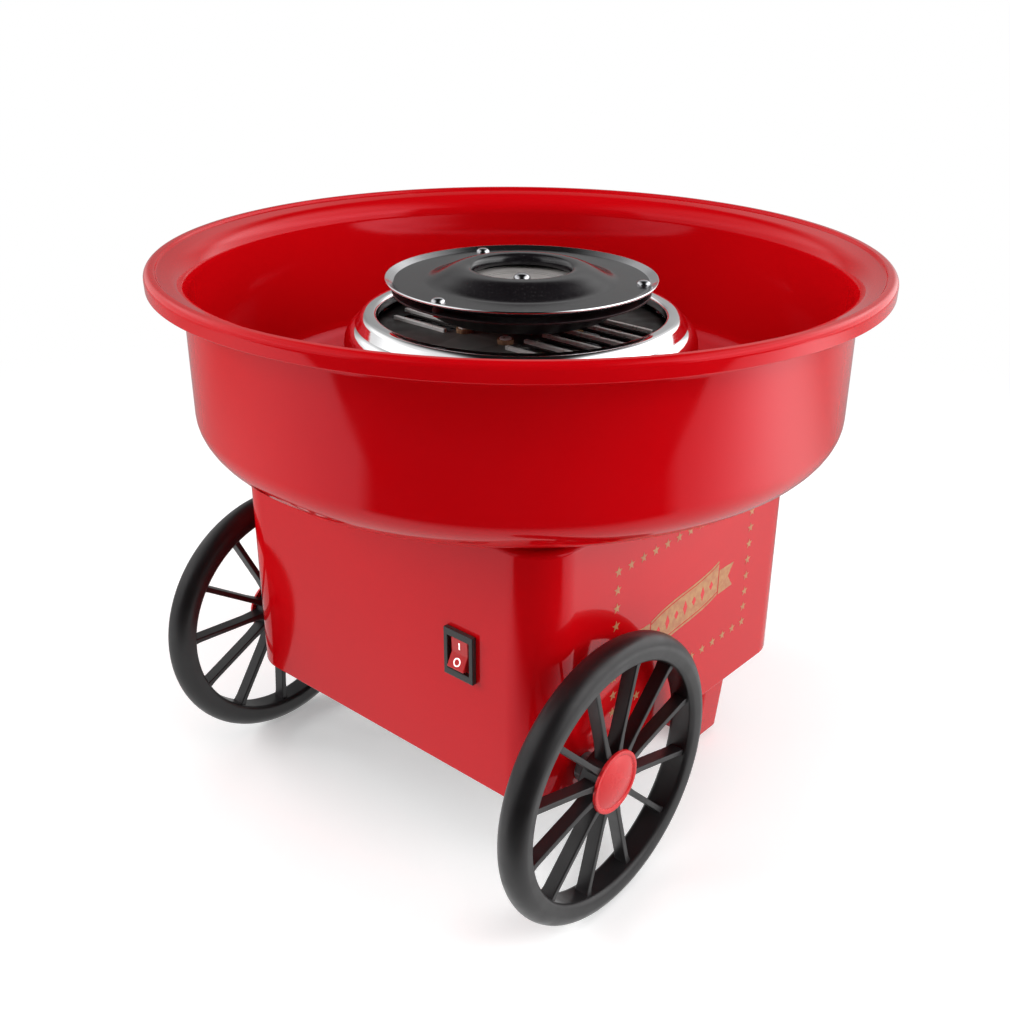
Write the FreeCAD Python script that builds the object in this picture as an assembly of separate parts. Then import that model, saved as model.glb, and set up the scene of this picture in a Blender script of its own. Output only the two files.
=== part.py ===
"""Cotton candy machine on two cart wheels.

Millimetres. X runs across the machine, -Y is the front wall with the switch, +Z is up.
The origin is on the floor, straight under the axis of the bowl and the spinning head.
"""
import FreeCAD, Part
import math
import os

Vector = FreeCAD.Vector
UP = Vector(0, 0, 1)
ACROSS = Vector(1, 0, 0)
BACK = Vector(0, 1, 0)

# Fits
RUNNING_FIT = 0.05
SCREW_FIT = 0.05
PLAY = 0.3

# Base housing
BASE_HALF = 89.0
BASE_BOTTOM = 50.5
BASE_TOP = 160.0
BASE_CORNER = 18.0
BASE_WALL = 2.5
DECK_THICKNESS = 3.0
DECK_HOLE = 56.0
BASE_INNER = BASE_HALF - BASE_WALL
DECK_UNDERSIDE = BASE_TOP - DECK_THICKNESS
CORNER_BOSS = BASE_HALF - 12.5
CORNER_BOSS_RADIUS = 4.5
PILOT_RADIUS = 1.4

# Bottom cover and rear leg
COVER_BOTTOM = 51.5
COVER_TOP = 54.0
LEG_BOTTOM = 2.5
LEG_BACK = BASE_HALF - 17.6
LEG_FRONT = LEG_BACK - 19.6
LEG_HALF_WIDTH = BASE_HALF - 19.0
LEG_DRAFT = 2.5
LEG_WALL = 2.5
ARCH_HALF_WIDTH = LEG_HALF_WIDTH - 30.0
ARCH_TOP = 34.0
ARCH_CORNER = 14.0
LEG_MIDDLE = (LEG_FRONT + LEG_BACK) / 2
LEG_SCREWS_X = (ARCH_HALF_WIDTH + 12.0, ARCH_HALF_WIDTH - 15.0)
PAD_X = LEG_HALF_WIDTH - 9.0
PAD_RADIUS = 5.0
PAD_STUD_RADIUS = 1.8

# Wheels and axle
WHEEL_RADIUS = 60.5
AXLE_Y = 26.3 - BASE_HALF
AXLE_Z = WHEEL_RADIUS
AXLE_RADIUS = 3.0
SPACER_LENGTH = 5.7
SPACER_RADIUS = 6.0
TYRE_HALF_WIDTH = 6.5
TYRE_CROWN = 6.0
TYRE_FLANK = 4.5
TYRE_INNER_HALF = 5.0
SPOKE_COUNT = 12
SPOKE_DEPTH = 6.0
SPOKE_THICKNESS = 2.4
HUB_RADIUS = 11.5
HUB_INNER_FACE = BASE_HALF + SPACER_LENGTH + PLAY
HUB_OUTER_FACE = HUB_INNER_FACE + 9.2
WHEEL_MIDDLE = HUB_INNER_FACE + 6.0
AXLE_HALF_LENGTH = HUB_INNER_FACE + 7.0
HUB_WEB = 4.5
POCKET_RADIUS = 8.5
NUT_RADIUS = 6.5
NUT_THICKNESS = 1.5
CAP_RADIUS = 13.3
CAP_EDGE = 0.9
CAP_DOME = 2.8
RIGHT_WHEEL_PHASE = 15.0
LEFT_WHEEL_PHASE = 3.5

# Bowl
BOWL_TOP = 240.0
BOWL_RIM_RADIUS = 150.0
BOWL_WALL_RADIUS = 136.3
BOWL_FLOOR_RADIUS = 101.3
BOWL_CURVE_HEIGHT = 21.8
BOWL_SHEET = 2.5
BOWL_HOLE = 79.0
COLLAR_HEIGHT = 8.0

# Polished shroud around the heater
SHROUD_RADIUS = 76.0
SHROUD_SHEET = 1.0
SHROUD_FLANGE_INNER = 66.2
SHROUD_FLANGE_THICKNESS = 0.8
SHROUD_ROLL_INNER = 60.5
SHROUD_ROLL_OUTER = 66.5
SHROUD_ROLL_HEIGHT = 5.0
SHROUD_ROLL_CORNER = 1.3
SHROUD_SKIRT = 20.0
SHROUD_NECK_RADIUS = 65.2
SHROUD_NECK = 51.0
SHROUD_TOP = 215.6
SHROUD_SCREW_CIRCLE = 70.5

# Motor plate and what stands on it
PLATE_RADIUS = 65.6
PLATE_THICKNESS = 1.2
PLATE_TOP = BASE_TOP + PLATE_THICKNESS
PLATE_SCREW_CIRCLE = 61.0
PLATE_HOLE = 8.0
VENT_CIRCLE = 50.0
VENT_RADIUS = 4.5
VENT_PLATE_Z = 207.2
VENT_PLATE_THICKNESS = 0.8
VENT_PLATE_RADIUS = 63.5
VENT_PLATE_HOLE = 10.0
VENT_POST_CIRCLE = 59.5
VENT_POST_RADIUS = 3.0
LOUVRE_COUNT = 6
LOUVRE_PITCH = 11.4
LOUVRE_WIDTH = 1.6
LOUVRE_RISE = 1.4
LOUVRE_START = 17.0
LOUVRE_REACH = 55.0
LOUVRE_SLOT = 6.4
VENT_TOP = VENT_PLATE_Z + VENT_PLATE_THICKNESS
HEATER_CIRCLE = 25.5
HEATER_TUBE = 2.2
HEATER_Z = 200.5
HEATER_LEG_ANGLES = (-8.0, 8.0)
HEATER_LEG_BOTTOM = 186.0
HEATER_POST_ANGLES = (63.4, 116.6, 243.4, 296.6)
HEATER_POST_RADIUS = 3.2
HEATER_POST_NECK = 2.2
HEATER_POST_HEAD = 3.4
HEATER_POST_RISE = 1.8

# Motor
SHAFT_RADIUS = 2.5
SHAFT_BOTTOM = 96.0
STATOR_BOTTOM = 124.0
STATOR_TOP = 146.0
STATOR_HALF_X = 28.0
STATOR_HALF_Y = 24.0
STATOR_BORE = 14.4
ROTOR_RADIUS = 14.1
LIMB_WIDTH = 12.0
LIMB_START = 40.0
COIL_THICKNESS = 8.5
BRACKET_THICKNESS = 2.0
BRACKET_HALF_X = 41.0
BEARING_RADIUS = 9.0
BEARING_HEIGHT = 8.0
MOTOR_SCREWS = (22.0, 18.0)
MOUNT_PLACES = (35.0, 15.0)
MOUNT_RADIUS = 5.0
FAN_RADIUS = 32.0
FAN_BLADES = 7
FAN_BOTTOM = 98.0
FAN_HEIGHT = 12.0

# Spinning head
HUB_BOTTOM = 200.0
HUB_TOP = 215.3
DRIVE_HUB_RADIUS = 7.0
HEAD_SHEET = 0.8
PAN_FLOOR_RADIUS = 37.0
PAN_FLANGE_Z = 223.8
PAN_FLANGE_START = 47.0
PAN_FLANGE_END = 54.0
SLOT_HEIGHT = 2.0
HEAD_RADIUS = 57.0
HEAD_PLATE_THICKNESS = 1.0
HEAD_PLATE_INNER = 40.0
HEAD_PLATE_BEND = 53.4
HEAD_RIM_RISE = 2.4
COVER_RADIUS = 53.0
CREST_RADIUS = 24.3
CREST_RISE = 5.4
WELL_RADIUS = 20.2
CONE_FOOT = 39.5
RIVET_CIRCLE = 50.6
RIVET_SHANK = 1.5
RIVET_HEAD = 3.0
RIVET_RISE = 1.8
RIVET_TAIL = 2.3
RIVET_ANGLES = (31.5, 151.5, 271.5)
CUP_Z = PAN_FLANGE_Z + 0.3
SHAFT_TOP = CUP_Z + 4.1
CUP_RADIUS = 23.5
CUP_RISE = 3.1
CUP_FLAT = 6.0
PAN_FLOOR_TOP = HUB_TOP + HEAD_SHEET
HEAD_PLATE_Z = PAN_FLANGE_Z + HEAD_SHEET + SLOT_HEIGHT
HEAD_COVER_Z = HEAD_PLATE_Z + HEAD_PLATE_THICKNESS

# Switch
SWITCH_X = BASE_HALF - 40.3
SWITCH_Z = 107.3
BEZEL_HALF_X = 7.65
BEZEL_HALF_Z = 10.4
BEZEL_THICKNESS = 2.2
SWITCH_BODY_HALF_X = 6.45
SWITCH_BODY_HALF_Z = 9.35
SWITCH_BODY_DEPTH = 13.0
SWITCH_OPENING_X = 4.7
SWITCH_OPENING_Z = 7.2
SWITCH_CAVITY_DEPTH = 10.0
ROCKER_HALF_X = 4.4
ROCKER_HALF_Z = 6.2
ROCKER_CREST = 3.6
ROCKER_VALLEY = 2.0
ROCKER_PIN_RADIUS = 1.2
ROCKER_PIN_REACH = 4.95
ROCKER_PIVOT_DEPTH = 0.8
ROCKER_REST_TILT = -12.0

# Mains inlet and terminals
INLET_X = 44.0 - BASE_HALF
INLET_Z = 72.0
INLET_HOLE = 5.5
INLET_BORE = 3.2
INLET_FLANGE = 8.0
INLET_FLANGE_THICKNESS = 2.5
INLET_LIP = 6.8
INLET_LIP_THICKNESS = 2.0
BLOCK_CENTRE = (29.0 - BASE_HALF, 20.0)
BLOCK_SIZE = (24.0, 12.0, 14.0)

# Screws
SCREW_HEAD_RADIUS = 2.8
SCREW_HEAD_HEIGHT = 1.6
SCREW_SHANK = 1.35
RECESS_REACH = 1.5
RECESS_HALF_WIDTH = 0.35
RECESS_DEPTH = 0.8
COVER_SCREW_LENGTH = 14.0
DECK_SCREW_LENGTH = 10.0


def cylinder(radius, length, start, direction=UP):
    return Part.makeCylinder(radius, length, Vector(*start), direction)


def box(low, high):
    size = [b - a for a, b in zip(low, high)]
    return Part.makeBox(size[0], size[1], size[2], Vector(*low))


def tube(outer, inner, length, start, direction=UP):
    return cylinder(outer, length, start, direction).cut(cylinder(inner, length, start, direction))


def fuse_all(shapes):
    return shapes[0].multiFuse(shapes[1:]).removeSplitter()


def on_circle(radius, angle, height):
    turn = math.radians(angle)
    return (radius * math.cos(turn), radius * math.sin(turn), height)


def turned(shape, angle):
    copy = shape.copy()
    copy.rotate(Vector(0, 0, 0), UP, angle)
    return copy


def corners(x, y):
    return [(x, y), (-x, y), (-x, -y), (x, -y)]


def point(radius, height):
    return Vector(radius, 0, height)


def line(start, end):
    return Part.LineSegment(point(*start), point(*end)).toShape()


def arc(start, middle, end):
    return Part.Arc(point(*start), point(*middle), point(*end)).toShape()


def dome_arc(radius, foot, top):
    """A circular arc that is level where it meets the axis."""
    rise = top - foot
    ball = (radius ** 2 + rise ** 2) / (2 * rise)
    half = radius / 2
    return arc((radius, foot), (half, top - ball + math.sqrt(ball ** 2 - half ** 2)), (0, top))


def curve(points):
    spline = Part.BSplineCurve()
    spline.interpolate([point(*p) for p in points])
    return spline.toShape()


def bend_curve(poles):
    bezier = Part.BezierCurve()
    bezier.setPoles([point(*p) for p in poles])
    return bezier.toShape()


def revolve(edges):
    face = Part.Face(Part.Wire(Part.__sortEdges__(edges)))
    return face.revolve(Vector(0, 0, 0), UP, 360)


def revolve_outline(points):
    closed = list(points) + [points[0]]
    return revolve([line(a, b) for a, b in zip(closed, closed[1:])])


def rounded_outline(half_x, half_y, corner, height, middle_y=0.0):
    plate = Part.makeBox(2 * half_x, 2 * half_y, 1, Vector(-half_x, middle_y - half_y, height))
    upright = [e for e in plate.Edges if abs(e.Vertexes[0].Z - e.Vertexes[1].Z) > 0.5]
    plate = plate.makeFillet(corner, upright)
    bottom = min(plate.Faces, key=lambda f: f.CenterOfMass.z)
    return bottom.OuterWire


def rounded_block(half, corner, bottom, top):
    face = Part.Face(rounded_outline(half, half, corner, bottom))
    return face.extrude(Vector(0, 0, top - bottom))


def edges_at_height(shape, height):
    return [e for e in shape.Edges if abs(e.BoundBox.ZMin - height) < 0.01 and abs(e.BoundBox.ZMax - height) < 0.01]


def screw(place, seat, length, head_up=True, head=SCREW_HEAD_RADIUS, shank=SCREW_SHANK):
    """A pan head screw. The head sits on seat and the shank runs the other way."""
    x, y = place
    sign = 1 if head_up else -1
    head_start = seat if head_up else seat - SCREW_HEAD_HEIGHT
    shank_start = seat - length if head_up else seat
    top = cylinder(head, SCREW_HEAD_HEIGHT, (x, y, head_start))
    rim = max(top.Edges, key=lambda e: sign * e.BoundBox.Center.z if e.Length > head else -1e9)
    top = top.makeFillet(SCREW_HEAD_HEIGHT * 0.5, [rim])
    whole = top.fuse(cylinder(shank, length, (x, y, shank_start))).removeSplitter()
    face = seat + sign * SCREW_HEAD_HEIGHT
    low, high = sorted((face + sign, face - sign * RECESS_DEPTH))
    for reach_x, reach_y in ((RECESS_REACH, RECESS_HALF_WIDTH), (RECESS_HALF_WIDTH, RECESS_REACH)):
        whole = whole.cut(box((x - reach_x, y - reach_y, low), (x + reach_x, y + reach_y, high)))
    return whole


def deck_screw_places():
    plate = [on_circle(PLATE_SCREW_CIRCLE, 45 + 90 * i, 0)[:2] for i in range(4)]
    shroud = [on_circle(SHROUD_SCREW_CIRCLE, 90 + 120 * i, 0)[:2] for i in range(3)]
    return plate, shroud


def base_housing():
    shell = rounded_block(BASE_HALF, BASE_CORNER, BASE_BOTTOM, BASE_TOP)
    shell = shell.makeFillet(2.5, edges_at_height(shell, BASE_TOP))
    shell = shell.makeFillet(0.8, edges_at_height(shell, BASE_BOTTOM))
    room = rounded_block(BASE_INNER, BASE_CORNER - BASE_WALL, BASE_BOTTOM - 1, DECK_UNDERSIDE)
    shell = shell.cut(room)
    added = []
    for x, y in corners(CORNER_BOSS, CORNER_BOSS):
        added.append(cylinder(CORNER_BOSS_RADIUS, DECK_UNDERSIDE - COVER_TOP, (x, y, COVER_TOP)))
        side = 1 if x > 0 else -1
        rib_x = sorted((x, side * (BASE_INNER + 0.5)))
        added.append(box((rib_x[0], y - 1, COVER_TOP), (rib_x[1], y + 1, DECK_UNDERSIDE)))
    plate_places, shroud_places = deck_screw_places()
    for x, y in plate_places + shroud_places:
        added.append(cylinder(3.6, DECK_SCREW_LENGTH, (x, y, DECK_UNDERSIDE - DECK_SCREW_LENGTH)))
    for side in (-1, 1):
        start = (side * (BASE_INNER + 0.5), AXLE_Y, AXLE_Z)
        added.append(cylinder(SPACER_RADIUS, 10.5, start, ACROSS * -side))
    shell = shell.multiFuse(added)
    holes = [cylinder(DECK_HOLE, 20, (0, 0, DECK_UNDERSIDE - 10))]
    holes.append(cylinder(AXLE_RADIUS + RUNNING_FIT, 4 * BASE_HALF, (-2 * BASE_HALF, AXLE_Y, AXLE_Z), ACROSS))
    for x, y in corners(CORNER_BOSS, CORNER_BOSS):
        holes.append(cylinder(PILOT_RADIUS, COVER_SCREW_LENGTH + 2, (x, y, COVER_TOP - 1)))
    for x, y in plate_places + shroud_places:
        holes.append(cylinder(PILOT_RADIUS, DECK_SCREW_LENGTH + 4, (x, y, BASE_TOP - DECK_SCREW_LENGTH - 0.5)))
    cut_x = SWITCH_BODY_HALF_X + 0.2
    cut_z = SWITCH_BODY_HALF_Z + 0.2
    low = (SWITCH_X - cut_x, -BASE_HALF - 1, SWITCH_Z - cut_z)
    holes.append(box(low, (SWITCH_X + cut_x, -BASE_INNER + 1, SWITCH_Z + cut_z)))
    holes.append(cylinder(INLET_HOLE, 10, (INLET_X, BASE_INNER - 5, INLET_Z), BACK))
    return shell.cut(Part.makeCompound(holes)).removeSplitter()


def bottom_cover():
    plate = rounded_block(BASE_INNER - PLAY, BASE_CORNER - BASE_WALL - PLAY, COVER_BOTTOM, COVER_TOP)
    holes = []
    for x, y in corners(CORNER_BOSS, CORNER_BOSS):
        holes.append(cylinder(SCREW_SHANK + 0.25, 10, (x, y, COVER_BOTTOM - 5)))
    for x in leg_screw_columns():
        holes.append(cylinder(SCREW_SHANK + 0.25, 10, (x, LEG_MIDDLE, COVER_BOTTOM - 5)))
    for row in range(-2, 3):
        y = 10.0 * row
        slot = box((-25, y - 2, COVER_BOTTOM - 5), (25, y + 2, COVER_TOP + 5))
        ends = [cylinder(2, 12.5, (x, y, COVER_BOTTOM - 5)) for x in (-25, 25)]
        holes += [slot] + ends
    return plate.cut(Part.makeCompound([fuse_all(holes[-3:])] + holes)).removeSplitter()


def leg_screw_columns():
    return [side * x for x in LEG_SCREWS_X for side in (-1, 1)]


def cover_screws():
    return [screw(place, COVER_BOTTOM, COVER_SCREW_LENGTH, head_up=False) for place in corners(CORNER_BOSS, CORNER_BOSS)]


def leg_block(inset, bottom, top):
    """The tapered outline of the leg, inset from its outer faces."""
    wires = []
    for height in (bottom, top):
        grow = LEG_DRAFT * (height - LEG_BOTTOM) / (COVER_BOTTOM - LEG_BOTTOM)
        half_x = LEG_HALF_WIDTH + 1.6 * grow - inset
        half_y = (LEG_BACK - LEG_FRONT) / 2 + grow * 0.8 - inset
        wires.append(rounded_outline(half_x, half_y, 4.0 - inset * 0.8, height, LEG_MIDDLE))
    return Part.makeLoft(wires, True, True)


def arch(extra):
    width = ARCH_HALF_WIDTH + extra
    top = ARCH_TOP + extra
    opening = box((-width, 0, -5), (width, 2 * LEG_BACK, top))
    upper = [e for e in edges_at_height(opening, top) if e.BoundBox.YLength > LEG_BACK]
    return opening.makeFillet(ARCH_CORNER + extra, upper)


def rear_leg():
    leg = leg_block(0, LEG_BOTTOM, COVER_BOTTOM).cut(arch(0))
    room = leg_block(LEG_WALL, LEG_BOTTOM + LEG_WALL, COVER_BOTTOM).cut(arch(LEG_WALL))
    leg = leg.cut(room)
    bosses = []
    for x in leg_screw_columns():
        bottom = LEG_BOTTOM + 1 if abs(x) > ARCH_HALF_WIDTH else ARCH_TOP + 1
        bosses.append(cylinder(4.0, COVER_BOTTOM - bottom, (x, LEG_MIDDLE, bottom)))
    leg = leg.multiFuse(bosses)
    depth = COVER_SCREW_LENGTH
    holes = [cylinder(PILOT_RADIUS, depth, (x, LEG_MIDDLE, COVER_TOP - depth - 1)) for x in leg_screw_columns()]
    for side in (-1, 1):
        holes.append(cylinder(PAD_STUD_RADIUS + RUNNING_FIT, 6, (side * PAD_X, LEG_MIDDLE, LEG_BOTTOM - 1)))
    return leg.cut(Part.makeCompound(holes)).removeSplitter()


def leg_screws():
    return [screw((x, LEG_MIDDLE), COVER_TOP, COVER_SCREW_LENGTH) for x in leg_screw_columns()]


def foot_pads():
    pads = []
    for side in (-1, 1):
        pad = cylinder(PAD_RADIUS, LEG_BOTTOM, (side * PAD_X, LEG_MIDDLE, 0))
        stud = cylinder(PAD_STUD_RADIUS, LEG_WALL, (side * PAD_X, LEG_MIDDLE, LEG_BOTTOM))
        pads.append(pad.fuse(stud).removeSplitter())
    return pads


def axle():
    rod = cylinder(AXLE_RADIUS, 2 * AXLE_HALF_LENGTH, (-AXLE_HALF_LENGTH, AXLE_Y, AXLE_Z), ACROSS)
    rims = [e for e in rod.Edges if abs(e.BoundBox.XLength) < 0.01]
    return rod.makeChamfer(0.5, rims)


def axle_spacer(side):
    start = (side * BASE_HALF, AXLE_Y, AXLE_Z)
    return tube(SPACER_RADIUS, AXLE_RADIUS + RUNNING_FIT, SPACER_LENGTH, start, ACROSS * side)


def axle_nut(side):
    start = (side * (HUB_INNER_FACE + HUB_WEB + PLAY), AXLE_Y, AXLE_Z)
    return tube(NUT_RADIUS, AXLE_RADIUS + 0.02, NUT_THICKNESS, start, ACROSS * side)


def placed_wheel(shape, side, phase=0.0):
    """Put a part built about +X at the origin's height onto one end of the axle."""
    copy = shape.copy()
    if phase:
        copy.rotate(Vector(0, 0, 0), ACROSS, phase)
    if side < 0:
        copy.rotate(Vector(0, 0, 0), UP, 180)
    copy.translate(Vector(0, AXLE_Y, AXLE_Z))
    return copy


def tyre_section():
    """Flat inside, rounded flanks and an oval crown."""
    centre = Vector(WHEEL_MIDDLE, 0, WHEEL_RADIUS - TYRE_CROWN)
    side = ACROSS * TYRE_HALF_WIDTH
    crown = Part.ArcOfEllipse(Part.Ellipse(centre + side, centre + UP * TYRE_CROWN, centre), 0, math.pi)
    inner = centre - UP * TYRE_FLANK
    corner = ACROSS * TYRE_INNER_HALF
    bulge = ACROSS * (TYRE_HALF_WIDTH - 0.35) - UP * TYRE_FLANK * 0.6
    edges = [crown.toShape(), Part.LineSegment(inner - corner, inner + corner).toShape()]
    edges.append(Part.Arc(inner + corner, centre + bulge, centre + side).toShape())
    bulge.x = -bulge.x
    edges.append(Part.Arc(inner - corner, centre + bulge, centre - side).toShape())
    return Part.Wire(Part.__sortEdges__(edges))


def wheel(side, phase):
    tyre = Part.Face(tyre_section()).revolve(Vector(0, 0, 0), ACROSS, 360)
    hub = cylinder(HUB_RADIUS, HUB_OUTER_FACE - HUB_INNER_FACE, (HUB_INNER_FACE, 0, 0), ACROSS)
    pieces = [hub]
    spoke_end = WHEEL_RADIUS - TYRE_CROWN - TYRE_FLANK / 2
    for number in range(SPOKE_COUNT):
        low = (WHEEL_MIDDLE - SPOKE_DEPTH / 2, -SPOKE_THICKNESS / 2, HUB_RADIUS - 2)
        spoke = box(low, (WHEEL_MIDDLE + SPOKE_DEPTH / 2, SPOKE_THICKNESS / 2, spoke_end))
        spoke.rotate(Vector(0, 0, 0), ACROSS, 360.0 / SPOKE_COUNT * number)
        pieces.append(spoke)
    body = tyre.multiFuse(pieces)
    bore = cylinder(AXLE_RADIUS + RUNNING_FIT, 20, (HUB_INNER_FACE - 5, 0, 0), ACROSS)
    pocket = cylinder(POCKET_RADIUS, 20, (HUB_INNER_FACE + HUB_WEB, 0, 0), ACROSS)
    return placed_wheel(body.cut(bore).cut(pocket).removeSplitter(), side, phase)


def hub_cap(side):
    back = HUB_OUTER_FACE
    edge = back + CAP_EDGE
    top = back + CAP_DOME
    groove = CAP_RADIUS - 1.9
    outline = [line((0, back), (CAP_RADIUS, back)), line((CAP_RADIUS, back), (CAP_RADIUS, edge))]
    outline.append(arc((CAP_RADIUS, edge), (CAP_RADIUS - 0.7, edge + 0.45), (CAP_RADIUS - 1.4, edge)))
    outline.append(line((CAP_RADIUS - 1.4, edge), (groove, edge - 0.2)))
    outline.append(dome_arc(groove, edge - 0.2, top))
    outline.append(line((0, top), (0, back)))
    cap = revolve(outline)
    spigot = tube(POCKET_RADIUS - RUNNING_FIT, POCKET_RADIUS - 1.3, 2.7, (0, 0, back - 2.7))
    cap = cap.fuse(spigot).removeSplitter()
    cap.rotate(Vector(0, 0, 0), BACK, 90)
    return placed_wheel(cap, side)


def bowl():
    """A moulded bowl with a rolled rim, a curved foot and a collar around its hole."""
    outer = BOWL_WALL_RADIUS
    inner = outer - BOWL_SHEET
    foot = BASE_TOP
    curve_top = foot + BOWL_CURVE_HEIGHT
    under = quarter_curve(BOWL_FLOOR_RADIUS, curve_top, outer - BOWL_FLOOR_RADIUS, BOWL_CURVE_HEIGHT)
    inside = quarter_curve(BOWL_FLOOR_RADIUS, curve_top, inner - BOWL_FLOOR_RADIUS, BOWL_CURVE_HEIGHT - BOWL_SHEET)
    rim = BOWL_RIM_RADIUS
    top = BOWL_TOP
    neck = top - 14.0
    edges = [under, inside]
    edges.append(line((outer, curve_top), (outer, neck)))
    edges.append(arc((outer, neck), (outer + 1.0, top - 7.9), (outer + 4.2, top - 5.6)))
    edges.append(line((outer + 4.2, top - 5.6), (rim - 3.6, top - 3.4)))
    edges.append(line((rim - 3.6, top - 3.4), (rim - 3.0, top - 7.0)))
    edges.append(line((rim - 3.0, top - 7.0), (rim - 0.3, top - 7.0)))
    edges.append(line((rim - 0.3, top - 7.0), (rim, top - 3.0)))
    edges.append(arc((rim, top - 3.0), (rim - 1.0, top - 0.8), (rim - 3.2, top)))
    edges.append(line((rim - 3.2, top), (rim - 4.4, top - 0.2)))
    edges.append(line((rim - 4.4, top - 0.2), (rim - 5.0, top - 1.2)))
    edges.append(line((rim - 5.0, top - 1.2), (outer + 4.0, top - 3.0)))
    edges.append(arc((outer + 4.0, top - 3.0), (outer - 1.1, top - 6.0), (inner, top - 12.0)))
    edges.append(line((inner, top - 12.0), (inner, curve_top)))
    floor = foot + BOWL_SHEET
    collar = BOWL_HOLE + BOWL_SHEET
    edges.append(line((BOWL_FLOOR_RADIUS, floor), (collar, floor)))
    edges.append(line((collar, floor), (collar, foot + COLLAR_HEIGHT)))
    edges.append(line((collar, foot + COLLAR_HEIGHT), (BOWL_HOLE, foot + COLLAR_HEIGHT)))
    edges.append(line((BOWL_HOLE, foot + COLLAR_HEIGHT), (BOWL_HOLE, foot)))
    edges.append(line((BOWL_HOLE, foot), (BOWL_FLOOR_RADIUS, foot)))
    return revolve(edges)


def quarter_curve(radius, height, reach, drop):
    """A quarter of an ellipse from straight down to straight out."""
    steps = 12
    points = []
    for step in range(steps + 1):
        turn = math.pi / 2 * step / steps
        points.append((radius + reach * math.sin(turn), height - drop * math.cos(turn)))
    spline = Part.BSplineCurve()
    spline.interpolate([point(*p) for p in points], InitialTangent=ACROSS, FinalTangent=UP)
    return spline.toShape()


def rolled_edge():
    """The sheet rolled inwards and pressed flat on top."""
    bottom = SHROUD_TOP - SHROUD_ROLL_HEIGHT
    ring = tube(SHROUD_ROLL_OUTER, SHROUD_ROLL_INNER, SHROUD_ROLL_HEIGHT, (0, 0, bottom))
    rims = edges_at_height(ring, SHROUD_TOP) + edges_at_height(ring, bottom)
    return ring.makeFillet(SHROUD_ROLL_CORNER, rims)


def heater_shroud():
    """Spun sheet: flat foot turned in, straight skirt, flare and a rolled edge."""
    foot = BASE_TOP
    wall = SHROUD_RADIUS
    neck = SHROUD_NECK_RADIUS
    top = foot + SHROUD_NECK
    skirt = foot + SHROUD_SKIRT
    rise = top - skirt
    bend = neck + (wall - neck) * 0.3
    shape = [(wall, skirt), (wall, skirt + rise * 0.52), (bend, skirt + rise * 0.76), (neck, top)]
    inside = [(r - SHROUD_SHEET, z) for r, z in shape]
    inner = wall - SHROUD_SHEET
    shelf = foot + SHROUD_FLANGE_THICKNESS
    edges = [bend_curve(shape), bend_curve(inside), line(shape[-1], inside[-1])]
    edges.append(line((wall, foot), shape[0]))
    edges.append(line((wall, foot), (SHROUD_FLANGE_INNER, foot)))
    edges.append(line((SHROUD_FLANGE_INNER, foot), (SHROUD_FLANGE_INNER, shelf)))
    edges.append(line((SHROUD_FLANGE_INNER, shelf), (inner, shelf)))
    edges.append(line((inner, shelf), inside[0]))
    skirt = revolve(edges)
    shroud = skirt.fuse(rolled_edge())
    places = deck_screw_places()[1]
    holes = [cylinder(SCREW_SHANK + 0.25, 4, (x, y, foot - 1)) for x, y in places]
    return shroud.cut(Part.makeCompound(holes)).removeSplitter()


def shroud_screws():
    return [screw(place, BASE_TOP + SHROUD_FLANGE_THICKNESS, DECK_SCREW_LENGTH) for place in deck_screw_places()[1]]


def motor_plate():
    plate = cylinder(PLATE_RADIUS, PLATE_THICKNESS, (0, 0, BASE_TOP))
    holes = [cylinder(PLATE_HOLE, 4, (0, 0, BASE_TOP - 1))]
    for x, y in deck_screw_places()[0]:
        holes.append(cylinder(SCREW_SHANK + 0.25, 4, (x, y, BASE_TOP - 1)))
    for x, y in corners(*MOUNT_PLACES):
        holes.append(cylinder(SCREW_SHANK + 0.25, 4, (x, y, BASE_TOP - 1)))
    for number in range(6):
        holes.append(cylinder(VENT_RADIUS, 4, on_circle(VENT_CIRCLE, 60 * number, BASE_TOP - 1)))
    return plate.cut(Part.makeCompound(holes))


def plate_screws():
    return [screw(place, PLATE_TOP, DECK_SCREW_LENGTH) for place in deck_screw_places()[0]]


def vent_post_places():
    return [on_circle(VENT_POST_CIRCLE, 90 + 120 * number, PLATE_TOP) for number in range(3)]


def vent_posts():
    return [cylinder(VENT_POST_RADIUS, VENT_PLATE_Z - PLATE_TOP, place) for place in vent_post_places()]


def louvre_ends(y):
    return LOUVRE_START, math.sqrt(LOUVRE_REACH ** 2 - y ** 2)


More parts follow.
